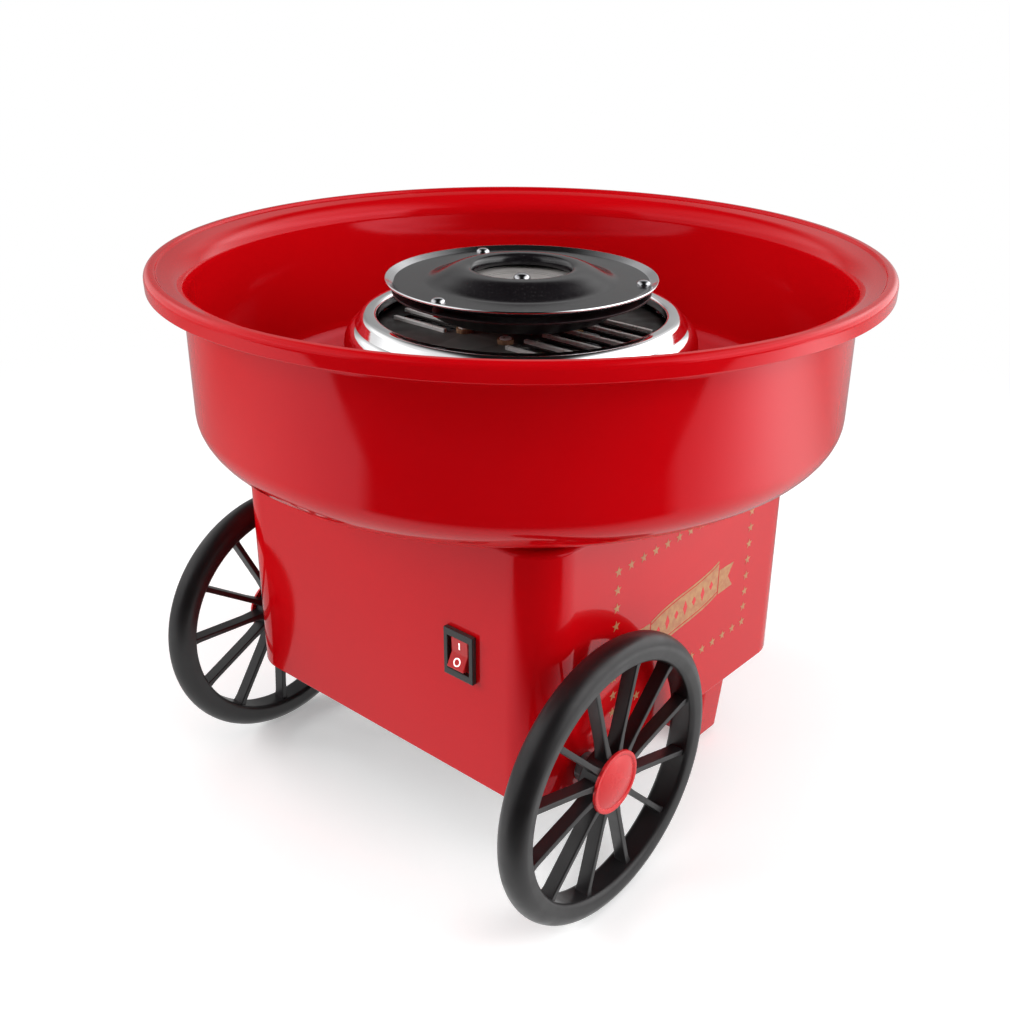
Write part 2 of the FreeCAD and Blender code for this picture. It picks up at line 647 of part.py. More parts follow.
def vent_plate():
    """A dark plate over the heater with straight slots and a raised lip beside each."""
    plate = tube(VENT_PLATE_RADIUS, VENT_PLATE_HOLE, VENT_PLATE_THICKNESS, (0, 0, VENT_PLATE_Z))
    lips = []
    slots = []
    half = LOUVRE_WIDTH / 2
    for number in range(LOUVRE_COUNT):
        y = LOUVRE_PITCH * (number - (LOUVRE_COUNT - 1) / 2)
        start, end = louvre_ends(y)
        for low, high in ((start, end), (-end, -start)):
            lips.append(box((low, y - half, VENT_PLATE_Z), (high, y + half, VENT_TOP + LOUVRE_RISE)))
    for number in range(LOUVRE_COUNT - 1):
        y = LOUVRE_PITCH * (number - (LOUVRE_COUNT - 2) / 2)
        start, end = louvre_ends(abs(y) + LOUVRE_PITCH / 2)
        wide = LOUVRE_SLOT / 2
        for low, high in ((start, end), (-end, -start)):
            slots.append(box((low, y - wide, VENT_PLATE_Z - 1), (high, y + wide, VENT_TOP + 1)))
    for angle in HEATER_POST_ANGLES:
        neck = HEATER_POST_NECK + RUNNING_FIT
        slots.append(cylinder(neck, 4, on_circle(HEATER_CIRCLE, angle, VENT_PLATE_Z - 1)))
    return plate.multiFuse(lips).cut(Part.makeCompound(slots)).removeSplitter()


def heating_element():
    ring = Part.makeTorus(HEATER_CIRCLE, HEATER_TUBE, Vector(0, 0, HEATER_Z), UP)
    legs = []
    for angle in HEATER_LEG_ANGLES:
        start = on_circle(HEATER_CIRCLE, angle, HEATER_LEG_BOTTOM)
        legs.append(cylinder(HEATER_TUBE * 0.8, HEATER_Z - HEATER_LEG_BOTTOM, start))
    return ring.multiFuse(legs).removeSplitter()


def heater_posts():
    """Ceramic studs that hang the heater ring from the vent plate."""
    groove = Part.makeTorus(HEATER_CIRCLE, HEATER_TUBE + RUNNING_FIT, Vector(0, 0, HEATER_Z), UP)
    bottom = HEATER_Z + 0.6
    posts = []
    for angle in HEATER_POST_ANGLES:
        body = cylinder(HEATER_POST_RADIUS, VENT_PLATE_Z - bottom, on_circle(HEATER_CIRCLE, angle, bottom))
        neck = cylinder(HEATER_POST_NECK, VENT_PLATE_THICKNESS, on_circle(HEATER_CIRCLE, angle, VENT_PLATE_Z))
        head = cylinder(HEATER_POST_HEAD, HEATER_POST_RISE, on_circle(HEATER_CIRCLE, angle, VENT_TOP))
        posts.append(fuse_all([body, neck, head]).cut(groove))
    return posts


def rubber_mounts():
    mounts = []
    bottom = STATOR_TOP + BRACKET_THICKNESS
    for x, y in corners(*MOUNT_PLACES):
        mounts.append(tube(MOUNT_RADIUS, SCREW_SHANK + 0.25, BASE_TOP - bottom, (x, y, bottom)))
    return mounts


def mount_screws():
    length = PLATE_TOP - STATOR_TOP
    return [screw(place, PLATE_TOP, length) for place in corners(*MOUNT_PLACES)]


def bracket_holes(bottom):
    holes = [cylinder(SHAFT_RADIUS + RUNNING_FIT, 40, (0, 0, bottom - 20))]
    for x, y in corners(*MOTOR_SCREWS):
        holes.append(cylinder(SCREW_SHANK + RUNNING_FIT, 20, (x, y, bottom - 10)))
    for x, y in corners(*MOUNT_PLACES):
        holes.append(cylinder(SCREW_SHANK + RUNNING_FIT, 20, (x, y, bottom - 10)))
    return Part.makeCompound(holes)


def motor_bracket_upper():
    plate_top = STATOR_TOP + BRACKET_THICKNESS
    low = (-BRACKET_HALF_X, -STATOR_HALF_Y, STATOR_TOP)
    plate = box(low, (BRACKET_HALF_X, STATOR_HALF_Y, plate_top))
    upright = [e for e in plate.Edges if e.BoundBox.ZLength > 1]
    plate = plate.makeFillet(6.0, upright)
    bearing = cylinder(BEARING_RADIUS, BEARING_HEIGHT, (0, 0, plate_top))
    return plate.fuse(bearing).cut(bracket_holes(STATOR_TOP)).removeSplitter()


def motor_bracket_lower():
    plate_bottom = STATOR_BOTTOM - BRACKET_THICKNESS
    low = (-STATOR_HALF_X, -STATOR_HALF_Y, plate_bottom)
    plate = box(low, (STATOR_HALF_X, STATOR_HALF_Y, STATOR_BOTTOM))
    upright = [e for e in plate.Edges if e.BoundBox.ZLength > 1]
    plate = plate.makeFillet(6.0, upright)
    bearing = cylinder(BEARING_RADIUS, BEARING_HEIGHT, (0, 0, plate_bottom - BEARING_HEIGHT))
    return plate.fuse(bearing).cut(bracket_holes(STATOR_BOTTOM)).removeSplitter()


def motor_stator():
    """A stack of laminations with the rotor bore and a limb for the coil."""
    limb_end = LIMB_START + LIMB_WIDTH
    low = (-STATOR_HALF_X, -STATOR_HALF_Y, STATOR_BOTTOM)
    stack = box(low, (STATOR_HALF_X, limb_end, STATOR_TOP))
    window_low = (LIMB_WIDTH - STATOR_HALF_X, STATOR_HALF_Y, STATOR_BOTTOM - 1)
    window = box(window_low, (STATOR_HALF_X - LIMB_WIDTH, LIMB_START, STATOR_TOP + 1))
    holes = [window, cylinder(STATOR_BORE, 40, (0, 0, STATOR_BOTTOM - 5))]
    for x, y in corners(*MOTOR_SCREWS):
        holes.append(cylinder(SCREW_SHANK + RUNNING_FIT, 40, (x, y, STATOR_BOTTOM - 5)))
    return stack.cut(Part.makeCompound(holes))


def motor_coil():
    half_x = STATOR_HALF_X - LIMB_WIDTH - 1.5
    grow = COIL_THICKNESS
    low = (-half_x, LIMB_START - grow, STATOR_BOTTOM - grow)
    block = box(low, (half_x, LIMB_START + LIMB_WIDTH + grow, STATOR_TOP + grow))
    along = [e for e in block.Edges if e.BoundBox.XLength > 1]
    block = block.makeFillet(4.0, along)
    gap = 0.2
    hole_low = (-half_x - 1, LIMB_START - gap, STATOR_BOTTOM - gap)
    hole = box(hole_low, (half_x + 1, LIMB_START + LIMB_WIDTH + gap, STATOR_TOP + gap))
    return block.cut(hole)


def motor_screws():
    seat = STATOR_BOTTOM - BRACKET_THICKNESS
    length = STATOR_TOP + BRACKET_THICKNESS - seat
    return [screw(place, seat, length, head_up=False) for place in corners(*MOTOR_SCREWS)]


def motor_rotor():
    return tube(ROTOR_RADIUS, SHAFT_RADIUS + 0.02, STATOR_TOP - STATOR_BOTTOM - 2, (0, 0, STATOR_BOTTOM + 1))


def motor_shaft():
    rod = cylinder(SHAFT_RADIUS, SHAFT_TOP - SHAFT_BOTTOM, (0, 0, SHAFT_BOTTOM))
    rims = edges_at_height(rod, SHAFT_TOP) + edges_at_height(rod, SHAFT_BOTTOM)
    return rod.makeChamfer(0.4, rims)


def cooling_fan():
    pieces = []
    for number in range(FAN_BLADES):
        blade = box((6, -1, -6), (FAN_RADIUS, 1, 6))
        blade.rotate(Vector(0, 0, 0), ACROSS, 40)
        blade.translate(Vector(0, 0, FAN_BOTTOM + FAN_HEIGHT / 2))
        pieces.append(turned(blade, 360.0 / FAN_BLADES * number))
    hub = cylinder(8.0, FAN_HEIGHT, (0, 0, FAN_BOTTOM))
    bore = cylinder(SHAFT_RADIUS + 0.02, 40, (0, 0, FAN_BOTTOM - 10))
    fan = hub.multiFuse(pieces).cut(bore)
    trim = cylinder(FAN_RADIUS, FAN_HEIGHT, (0, 0, FAN_BOTTOM))
    return fan.common(trim).removeSplitter()


def drive_hub():
    return tube(DRIVE_HUB_RADIUS, SHAFT_RADIUS + 0.02, HUB_TOP - HUB_BOTTOM, (0, 0, HUB_BOTTOM))


def rivet_places():
    return [on_circle(RIVET_CIRCLE, angle, 0)[:2] for angle in RIVET_ANGLES]


def rivet_holes(bottom):
    return Part.makeCompound([cylinder(RIVET_SHANK + RUNNING_FIT, 6, (x, y, bottom)) for x, y in rivet_places()])


def head_pan():
    inner = SHAFT_RADIUS + 0.1
    floor = HUB_TOP
    knee = PAN_FLOOR_RADIUS
    flange = PAN_FLANGE_Z
    sheet = HEAD_SHEET
    start = PAN_FLANGE_START
    edges = [line((inner, floor), (knee, floor)), line((inner, floor + sheet), (knee, floor + sheet))]
    edges.append(line((inner, floor), (inner, floor + sheet)))
    edges.append(arc((knee, floor), (knee + 2.2, floor + 0.7), (knee + 3.4, floor + 2.2)))
    edges.append(arc((knee, floor + sheet), (knee + 1.7, floor + 1.4), (knee + 2.7, floor + 2.8)))
    edges.append(line((knee + 3.4, floor + 2.2), (start, flange)))
    edges.append(line((knee + 2.7, floor + 2.8), (start - 0.6, flange + sheet)))
    edges.append(line((start, flange), (PAN_FLANGE_END, flange)))
    edges.append(line((PAN_FLANGE_END, flange), (PAN_FLANGE_END, flange + sheet)))
    edges.append(line((start - 0.6, flange + sheet), (PAN_FLANGE_END, flange + sheet)))
    return revolve(edges).cut(rivet_holes(flange - 2))


def rim_spacers():
    bottom = PAN_FLANGE_Z + HEAD_SHEET
    return [tube(2.4, RIVET_SHANK + RUNNING_FIT, SLOT_HEIGHT, (x, y, bottom)) for x, y in rivet_places()]


def head_plate():
    """The bright disc whose edge is turned up as a shallow dish."""
    z = HEAD_PLATE_Z
    thick = HEAD_PLATE_THICKNESS
    bend = HEAD_PLATE_BEND
    rim = z + HEAD_RIM_RISE
    outline = [(HEAD_PLATE_INNER, z), (bend, z), (HEAD_RADIUS - 0.3, rim), (HEAD_RADIUS, rim + 0.4)]
    outline += [(HEAD_RADIUS - 0.3, rim + 0.8), (HEAD_RADIUS - 0.8, rim + 0.7)]
    outline += [(bend - 0.3, z + thick), (HEAD_PLATE_INNER, z + thick)]
    return revolve_outline(outline).cut(rivet_holes(z - 2))


def head_cover():
    """A dark coated pressing: flat edge, raised crest and a well for the sugar."""
    low = HEAD_COVER_Z
    sheet = HEAD_SHEET
    top = low + sheet
    crest = low + CREST_RISE + sheet
    base = CONE_FOOT
    mid = (base + CREST_RADIUS) / 2
    well = WELL_RADIUS
    upper = [(base, top), (mid, top + 3.0), (CREST_RADIUS + 2, crest - 0.5), (CREST_RADIUS, crest)]
    upper += [(CREST_RADIUS - 2.2, crest - 0.6), (well + 0.6, crest - 2.2), (well, crest - 4.4)]
    lower = [(base - 0.3, low), (mid - 0.4, low + 2.7), (CREST_RADIUS + 1.7, crest - 1.3)]
    lower += [(CREST_RADIUS, crest - sheet), (CREST_RADIUS - 1.7, crest - 1.3)]
    lower += [(well + 1.4, crest - 2.5), (well + sheet, crest - 4.4)]
    edges = [curve(upper), curve(lower), line(upper[-1], lower[-1])]
    edges.append(line((base, top), (COVER_RADIUS, top)))
    edges.append(line((COVER_RADIUS, top), (COVER_RADIUS, low)))
    edges.append(line((COVER_RADIUS, low), lower[0]))
    return revolve(edges).cut(rivet_holes(low - 2))


def head_rivets():
    rivets = []
    seat = HEAD_COVER_Z + HEAD_SHEET
    for x, y in rivet_places():
        shank = cylinder(RIVET_SHANK, seat - PAN_FLANGE_Z, (x, y, PAN_FLANGE_Z))
        ball_radius = (RIVET_HEAD ** 2 + RIVET_RISE ** 2) / (2 * RIVET_RISE)
        ball = Part.makeSphere(ball_radius, Vector(x, y, seat + RIVET_RISE - ball_radius))
        head = ball.common(cylinder(RIVET_HEAD, 3, (x, y, seat)))
        tail = cylinder(RIVET_TAIL, HEAD_SHEET, (x, y, PAN_FLANGE_Z - HEAD_SHEET))
        rivets.append(shank.fuse(head).fuse(tail).removeSplitter())
    return rivets


def cup_spacer():
    return tube(5.5, SHAFT_RADIUS + 0.02, CUP_Z - PAN_FLOOR_TOP, (0, 0, PAN_FLOOR_TOP))


def sugar_cup():
    inner = SHAFT_RADIUS + 0.1
    floor = CUP_Z + HEAD_SHEET
    outline = [(inner, CUP_Z), (CUP_FLAT, CUP_Z), (CUP_RADIUS, CUP_Z + CUP_RISE)]
    outline += [(CUP_RADIUS, floor + CUP_RISE), (CUP_FLAT, floor), (inner, floor)]
    return revolve_outline(outline)


def dome_nut():
    seat = CUP_Z + HEAD_SHEET
    flats = 4.0
    radius = flats / math.cos(math.pi / 6)
    ring = [Vector(*on_circle(radius, 60 * i, seat)) for i in range(7)]
    hexagon = Part.Face(Part.makePolygon(ring)).extrude(Vector(0, 0, 3.0))
    dome = Part.makeSphere(3.7, Vector(0, 0, seat + 2.0))
    dome = dome.common(cylinder(5, 6, (0, 0, seat + 2.0)))
    bore = cylinder(SHAFT_RADIUS + 0.02, SHAFT_TOP + 0.2 - seat, (0, 0, seat))
    return hexagon.fuse(dome).cut(bore).removeSplitter()


def switch_frame():
    front = -BASE_HALF - BEZEL_THICKNESS
    back = -BASE_HALF + SWITCH_BODY_DEPTH
    low = (SWITCH_X - BEZEL_HALF_X, front, SWITCH_Z - BEZEL_HALF_Z)
    bezel = box(low, (SWITCH_X + BEZEL_HALF_X, -BASE_HALF, SWITCH_Z + BEZEL_HALF_Z))
    outer = [e for e in bezel.Edges if e.BoundBox.YMin < front + 0.01 or e.BoundBox.YLength > 1]
    bezel = bezel.makeFillet(0.8, outer)
    low = (SWITCH_X - SWITCH_BODY_HALF_X, -BASE_HALF, SWITCH_Z - SWITCH_BODY_HALF_Z)
    body = box(low, (SWITCH_X + SWITCH_BODY_HALF_X, back, SWITCH_Z + SWITCH_BODY_HALF_Z))
    low = (SWITCH_X - SWITCH_OPENING_X, front - 1, SWITCH_Z - SWITCH_OPENING_Z)
    high = (SWITCH_X + SWITCH_OPENING_X, -BASE_HALF + SWITCH_CAVITY_DEPTH, SWITCH_Z + SWITCH_OPENING_Z)
    cavity = box(low, high)
    reach = ROCKER_PIN_REACH + 0.25
    pivot_y = -BASE_HALF + ROCKER_PIVOT_DEPTH
    pins = cylinder(ROCKER_PIN_RADIUS + RUNNING_FIT, 2 * reach, (SWITCH_X - reach, pivot_y, SWITCH_Z), ACROSS)
    return bezel.fuse(body).cut(cavity).cut(pins).removeSplitter()


def switch_rocker():
    """Rocker with the I end pressed in. Its profile is drawn level and then tilted."""
    half = ROCKER_HALF_Z
    profile = [(half, -ROCKER_CREST), (half, 1.0), (3.5, 4.5), (-3.5, 4.5), (-half, 1.0), (-half, -ROCKER_CREST)]
    profile.append((0.0, -ROCKER_VALLEY))
    pivot = Vector(SWITCH_X, -BASE_HALF + ROCKER_PIVOT_DEPTH, SWITCH_Z)
    ring = [Vector(-ROCKER_HALF_X, depth, height) for height, depth in profile + profile[:1]]
    block = Part.Face(Part.makePolygon(ring)).extrude(Vector(2 * ROCKER_HALF_X, 0, 0))
    long_edges = [e for e in block.Edges if e.BoundBox.XLength > 1 and e.BoundBox.YMax < -ROCKER_VALLEY - 1]
    block = block.makeFillet(0.5, long_edges)
    pins = cylinder(ROCKER_PIN_RADIUS, 2 * ROCKER_PIN_REACH, (-ROCKER_PIN_REACH, 0, 0), ACROSS)
    rocker = block.fuse(pins).removeSplitter()
    rocker.rotate(Vector(0, 0, 0), ACROSS, ROCKER_REST_TILT)
    rocker.translate(pivot)
    return rocker


def switch_terminals():
    back = -BASE_HALF + SWITCH_BODY_DEPTH
    tabs = []
    for side in (-1, 1):
        for level in (-5.0, 5.0):
            x = SWITCH_X + side * 3.4
            z = SWITCH_Z + level
            tabs.append(box((x - 0.4, back, z - 2.4), (x + 0.4, back + 8, z + 2.4)))
    return tabs


def cord_bushing():
    lip_start = BASE_INNER - INLET_LIP_THICKNESS
    outside = BASE_HALF + INLET_FLANGE_THICKNESS
    flange = cylinder(INLET_FLANGE, INLET_FLANGE_THICKNESS, (INLET_X, BASE_HALF, INLET_Z), BACK)
    rim = [e for e in flange.Edges if e.BoundBox.YMin > outside - 0.01]
    flange = flange.makeFillet(1.2, rim)
    neck = cylinder(INLET_HOLE - RUNNING_FIT, BASE_WALL, (INLET_X, BASE_INNER, INLET_Z), BACK)
    lip = cylinder(INLET_LIP, INLET_LIP_THICKNESS, (INLET_X, lip_start, INLET_Z), BACK)
    bore = cylinder(INLET_BORE, 20, (INLET_X, lip_start - 5, INLET_Z), BACK)
    return flange.fuse(neck).fuse(lip).cut(bore).removeSplitter()


def terminal_block():
    x, y = BLOCK_CENTRE
    length, depth, height = BLOCK_SIZE
    block = box((x - length / 2, y - depth / 2, COVER_TOP), (x + length / 2, y + depth / 2, COVER_TOP + height))
    block = block.makeFillet(1.0, edges_at_height(block, COVER_TOP + height))
    holes = []
    for number in (-1, 0, 1):
        centre = x + number * 7.5
        holes.append(cylinder(1.8, depth + 2, (centre, y - depth / 2 - 1, COVER_TOP + 5), BACK))
        holes.append(cylinder(1.6, height, (centre, y, COVER_TOP + 5)))
    return block.cut(Part.makeCompound(holes)).removeSplitter()


NODES = {
    "base_housing": base_housing,
    "bottom_cover": bottom_cover,
    "cover_screws": cover_screws,
    "rear_leg": rear_leg,
    "leg_screws": leg_screws,
    "foot_pads": foot_pads,
    "axle": axle,
    "axle_spacer_left": lambda: axle_spacer(-1),
    "axle_spacer_right": lambda: axle_spacer(1),
    "axle_nut_left": lambda: axle_nut(-1),
    "axle_nut_right": lambda: axle_nut(1),
    "wheel_left": lambda: wheel(-1, LEFT_WHEEL_PHASE),
    "wheel_right": lambda: wheel(1, RIGHT_WHEEL_PHASE),
    "hub_cap_left": lambda: hub_cap(-1),
    "hub_cap_right": lambda: hub_cap(1),
    "bowl": bowl,
    "heater_shroud": heater_shroud,
    "shroud_screws": shroud_screws,
    "motor_plate": motor_plate,
    "plate_screws": plate_screws,
    "vent_posts": vent_posts,
    "vent_plate": vent_plate,
    "heating_element": heating_element,
    "heater_posts": heater_posts,
    "rubber_mounts": rubber_mounts,
    "mount_screws": mount_screws,
    "motor_bracket_upper": motor_bracket_upper,
    "motor_bracket_lower": motor_bracket_lower,
    "motor_stator": motor_stator,
    "motor_coil": motor_coil,
    "motor_screws": motor_screws,
    "motor_rotor": motor_rotor,
    "motor_shaft": motor_shaft,
    "cooling_fan": cooling_fan,
    "drive_hub": drive_hub,
    "head_pan": head_pan,
    "rim_spacers": rim_spacers,
    "head_plate": head_plate,
    "head_cover": head_cover,
    "head_rivets": head_rivets,
    "cup_spacer": cup_spacer,
    "sugar_cup": sugar_cup,
    "dome_nut": dome_nut,
    "switch_frame": switch_frame,
    "switch_rocker": switch_rocker,
    "switch_terminals": switch_terminals,
    "cord_bushing": cord_bushing,
    "terminal_block": terminal_block,
}

os.makedirs("parts", exist_ok=True)
for name, build in NODES.items():
    made = build()
    shape = Part.makeCompound(made) if isinstance(made, list) else made
    shape.exportStep("parts/" + name + ".step")
    print(name, len(shape.Solids), "solids", "valid" if shape.isValid() else "NOT VALID", round(shape.Volume, 1))
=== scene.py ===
import math

import bmesh
import bpy
from mathutils import Matrix, Vector
from mathutils.geometry import interpolate_bezier


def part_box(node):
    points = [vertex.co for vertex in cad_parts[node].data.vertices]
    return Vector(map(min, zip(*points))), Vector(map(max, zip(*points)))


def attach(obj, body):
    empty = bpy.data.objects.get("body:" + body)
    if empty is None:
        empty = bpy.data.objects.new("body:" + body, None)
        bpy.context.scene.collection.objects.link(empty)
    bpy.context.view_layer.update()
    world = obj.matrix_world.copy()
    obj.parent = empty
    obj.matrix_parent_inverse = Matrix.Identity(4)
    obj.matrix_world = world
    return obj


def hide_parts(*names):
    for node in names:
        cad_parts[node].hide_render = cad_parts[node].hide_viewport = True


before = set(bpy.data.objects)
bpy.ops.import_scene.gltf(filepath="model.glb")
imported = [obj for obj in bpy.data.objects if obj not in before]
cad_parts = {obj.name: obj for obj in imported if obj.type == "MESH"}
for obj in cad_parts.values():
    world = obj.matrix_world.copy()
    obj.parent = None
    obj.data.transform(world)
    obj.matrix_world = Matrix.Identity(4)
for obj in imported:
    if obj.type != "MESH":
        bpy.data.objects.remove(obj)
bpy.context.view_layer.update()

# Sizes are given in millimetres. The depths of bumps and all places in the studio are in metres.
MM = 0.001


# ----------------------------
# Base housing
# One injection moulding in red gloss plastic, open underneath, with a flat deck on top.
# The bowl rests on the deck, and the motor hangs through the round hole in it.
# ----------------------------
HOUSING_CORNER = 18.0
HOUSING_TOP_ROUND = 2.5
HOUSING_FOOT_ROUND = 0.8
HOUSING_WALL = 2.5
DECK_HOLE = 56.0
RED = (0.56, 0.0016, 0.0045)
RED_DEEP = (0.52, 0.0014, 0.0038)
RED_WORN = (0.68, 0.030, 0.034)
RED_SHEEN = (1.0, 0.30, 0.38)
WELD = 0.001
NEARBY = 0.01


def shader_of(material):
    return material.node_tree.nodes["Principled BSDF"]


def new_material(name, colour, roughness, metallic=0.0):
    material = bpy.data.materials.new(name)
    material.use_nodes = True
    shader = shader_of(material)
    shader.inputs["Base Color"].default_value = (*colour, 1.0)
    shader.inputs["Roughness"].default_value = roughness
    shader.inputs["Metallic"].default_value = metallic
    return material


def add_node(owner, kind, inputs=None, **settings):
    """A shader node of a material or world. Each input is a value or another node's output."""
    tree = owner.node_tree
    made = tree.nodes.new("ShaderNode" + kind)
    for key, value in settings.items():
        setattr(made, key, value)
    for key, value in (inputs or {}).items():
        if isinstance(value, bpy.types.NodeSocket):
            tree.links.new(value, made.inputs[key])
        else:
            made.inputs[key].default_value = value
    return made


def join_socket(material, output, name):
    material.node_tree.links.new(output, shader_of(material).inputs[name])


def own_place(owner):
    """The place of each point in its piece's own space."""
    return add_node(owner, "TexCoord").outputs["Object"]


def grain(material, scale, detail=3.0, stretch=(1.0, 1.0, 1.0)):
    """Noise in the piece's own space, as a value about one half."""
    mapping = add_node(material, "Mapping", {"Vector": own_place(material), "Scale": stretch})
    inputs = {"Vector": mapping.outputs[0], "Scale": scale, "Detail": detail}
    return add_node(material, "TexNoise", inputs).outputs[0]


def spread(material, value, low, high, start=0.3, end=0.7):
    """A value between start and end spread to lie between low and high."""
    inputs = {"Value": value, "From Min": start, "From Max": end, "To Min": low, "To Max": high}
    return add_node(material, "MapRange", inputs).outputs[0]


def opaque(colour):
    """A colour as a mixing node takes it, whether three numbers or another node's output."""
    return colour if isinstance(colour, bpy.types.NodeSocket) else (*colour, 1.0)


def blend_colours(material, value, low, high):
    inputs = {0: value, 6: opaque(low), 7: opaque(high)}
    return add_node(material, "Mix", inputs, data_type="RGBA").outputs[2]


def mottled(material, value, low, high, most=1.0):
    """A tone that wanders from low towards high with a grain."""
    return blend_colours(material, spread(material, value, 0.0, most), low, high)


def edge_wear(material, colour_below, worn, start=0.54, end=0.62):
    """Convex edges take a paler, handled tone."""
    edges = add_node(material, "NewGeometry").outputs["Pointiness"]
    return blend_colours(material, spread(material, edges, 0.0, 0.7, start, end), colour_below, worn)


def vary_roughness(material, value, low, high):
    join_socket(material, spread(material, value, low, high), "Roughness")


def bumps(material, layers):
    """Bump nodes one on the other, from (height value, depth in metres) pairs."""
    normal = None
    for height, depth in layers:
        inputs = {"Height": height, "Distance": depth, "Strength": 1.0}
        if normal is not None:
            inputs["Normal"] = normal
        normal = add_node(material, "Bump", inputs).outputs[0]
    join_socket(material, normal, "Normal")


def gloss_plastic(name, colour, deep, worn, roughness):
    """Moulded gloss plastic: a slight waviness, a fine skin and a few dull patches."""
    material = new_material(name, colour, roughness)
    tone = mottled(material, grain(material, 9.0, 2.0), deep, colour)
    join_socket(material, edge_wear(material, tone, worn), "Base Color")
    vary_roughness(material, grain(material, 55.0, 5.0), roughness * 0.75, roughness * 1.35)
    bumps(material, [(grain(material, 16.0, 1.0), 0.00025), (grain(material, 1500.0, 2.0), 0.0000022)])
    return material


def make_piece(name, bm, material, body, replaced=(), crease=38.0, edge=0.0):
    """Turn a bmesh into a finished piece that rides on a body and stands for its CAD nodes."""
    bmesh.ops.remove_doubles(bm, verts=bm.verts, dist=WELD * MM)
    bmesh.ops.recalc_face_normals(bm, faces=bm.faces)
    mesh = bpy.data.meshes.new(name)
    bm.to_mesh(mesh)
    bm.free()
    mesh.shade_smooth()
    mesh.set_sharp_from_angle(angle=math.radians(crease))
    mesh.materials.append(material)
    piece = bpy.data.objects.new(name, mesh)
    bpy.context.scene.collection.objects.link(piece)
    if edge:
        rounding = piece.modifiers.new("edge rounding", "BEVEL")
        rounding.width = edge * MM
        rounding.segments = 3
        rounding.limit_method = "ANGLE"
        rounding.angle_limit = math.radians(crease)
        mesh.set_sharp_from_angle(angle=math.radians(180.0))
    weights = piece.modifiers.new("flat faces stay flat", "WEIGHTED_NORMAL")
    weights.keep_sharp = True
    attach(piece, body)
    if replaced:
        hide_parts(*replaced)


def append_mesh(bm, other):
    """Add another bmesh's faces to this one and free it."""
    mesh = bpy.data.meshes.new("part")
    other.to_mesh(mesh)
    other.free()
    bm.from_mesh(mesh)
    bpy.data.meshes.remove(mesh)


def turn(bm, degrees, axis):
    """Turn a shape about an axis through the origin."""
    spin = Matrix.Rotation(math.radians(degrees), 3, axis)
    bmesh.ops.rotate(bm, cent=(0, 0, 0), matrix=spin, verts=bm.verts)


def shift(bm, move, verts=None):
    """Move a shape, or some of its points, by a distance in millimetres."""
    moved = bm.verts if verts is None else verts
    bmesh.ops.translate(bm, vec=[amount * MM for amount in move], verts=moved)


def block(low, high):
    """A box between two corners in millimetres."""
    bm = bmesh.new()
    bmesh.ops.create_cube(bm, size=1.0)
    bmesh.ops.scale(bm, vec=[(b - a) * MM for a, b in zip(low, high)], verts=bm.verts)
    shift(bm, [(a + b) / 2 for a, b in zip(low, high)])
    return bm


def pull_faces(bm, faces, move, keep=False):
    """Extrude faces by a move in millimetres, with or without the first ones left in place."""
    made = bmesh.ops.extrude_face_region(bm, geom=faces, use_keep_orig=keep)
    shift(bm, move, [g for g in made["geom"] if isinstance(g, bmesh.types.BMVert)])


def round_off(bm, geometry, radius, segments, affect="EDGES"):
    bmesh.ops.bevel(bm, geom=geometry, offset=radius * MM, offset_type="OFFSET", segments=segments,
                    profile=0.5, affect=affect, material=-1)


def upright_edges(bm):
    return [e for e in bm.edges if abs(e.verts[0].co.z - e.verts[1].co.z) > MM]


def edges_at(bm, axis, value):
    return [e for e in bm.edges if all(abs(v.co[axis] - value * MM) < NEARBY * MM for v in e.verts)]


def in_millimetres(corners):
    return [tuple(v / MM for v in corner) for corner in corners]


red_plastic = gloss_plastic("red gloss plastic", RED, RED_DEEP, RED_WORN, 0.07)
shader_of(red_plastic).inputs["Specular Tint"].default_value = (*RED_SHEEN, 1.0)

housing_low, housing_high = in_millimetres(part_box("base_housing"))
housing = block(housing_low, housing_high)
round_off(housing, upright_edges(housing), HOUSING_CORNER, 14)
round_off(housing, edges_at(housing, 2, housing_high[2]), HOUSING_TOP_ROUND, 5)
round_off(housing, edges_at(housing, 2, housing_low[2]), HOUSING_FOOT_ROUND, 3)
flat_ends = [f for f in housing.faces if abs(f.normal.z) > 0.99 and len(f.verts) > 8]
bmesh.ops.delete(housing, geom=flat_ends, context="FACES_ONLY")
deck_rim = [e for e in edges_at(housing, 2, housing_high[2]) if e.is_boundary]
hole_place = Matrix.Translation((0, 0, housing_high[2] * MM))
bmesh.ops.create_circle(housing, segments=96, radius=DECK_HOLE * MM, matrix=hole_place)
hole_rim = [e for e in housing.edges if e.is_wire]
bmesh.ops.bridge_loops(housing, edges=deck_rim + hole_rim)
bmesh.ops.recalc_face_normals(housing, faces=housing.faces)
bmesh.ops.solidify(housing, geom=housing.faces[:], thickness=HOUSING_WALL * MM)
make_piece("housing_shell", housing, red_plastic, "base", ["base_housing"])


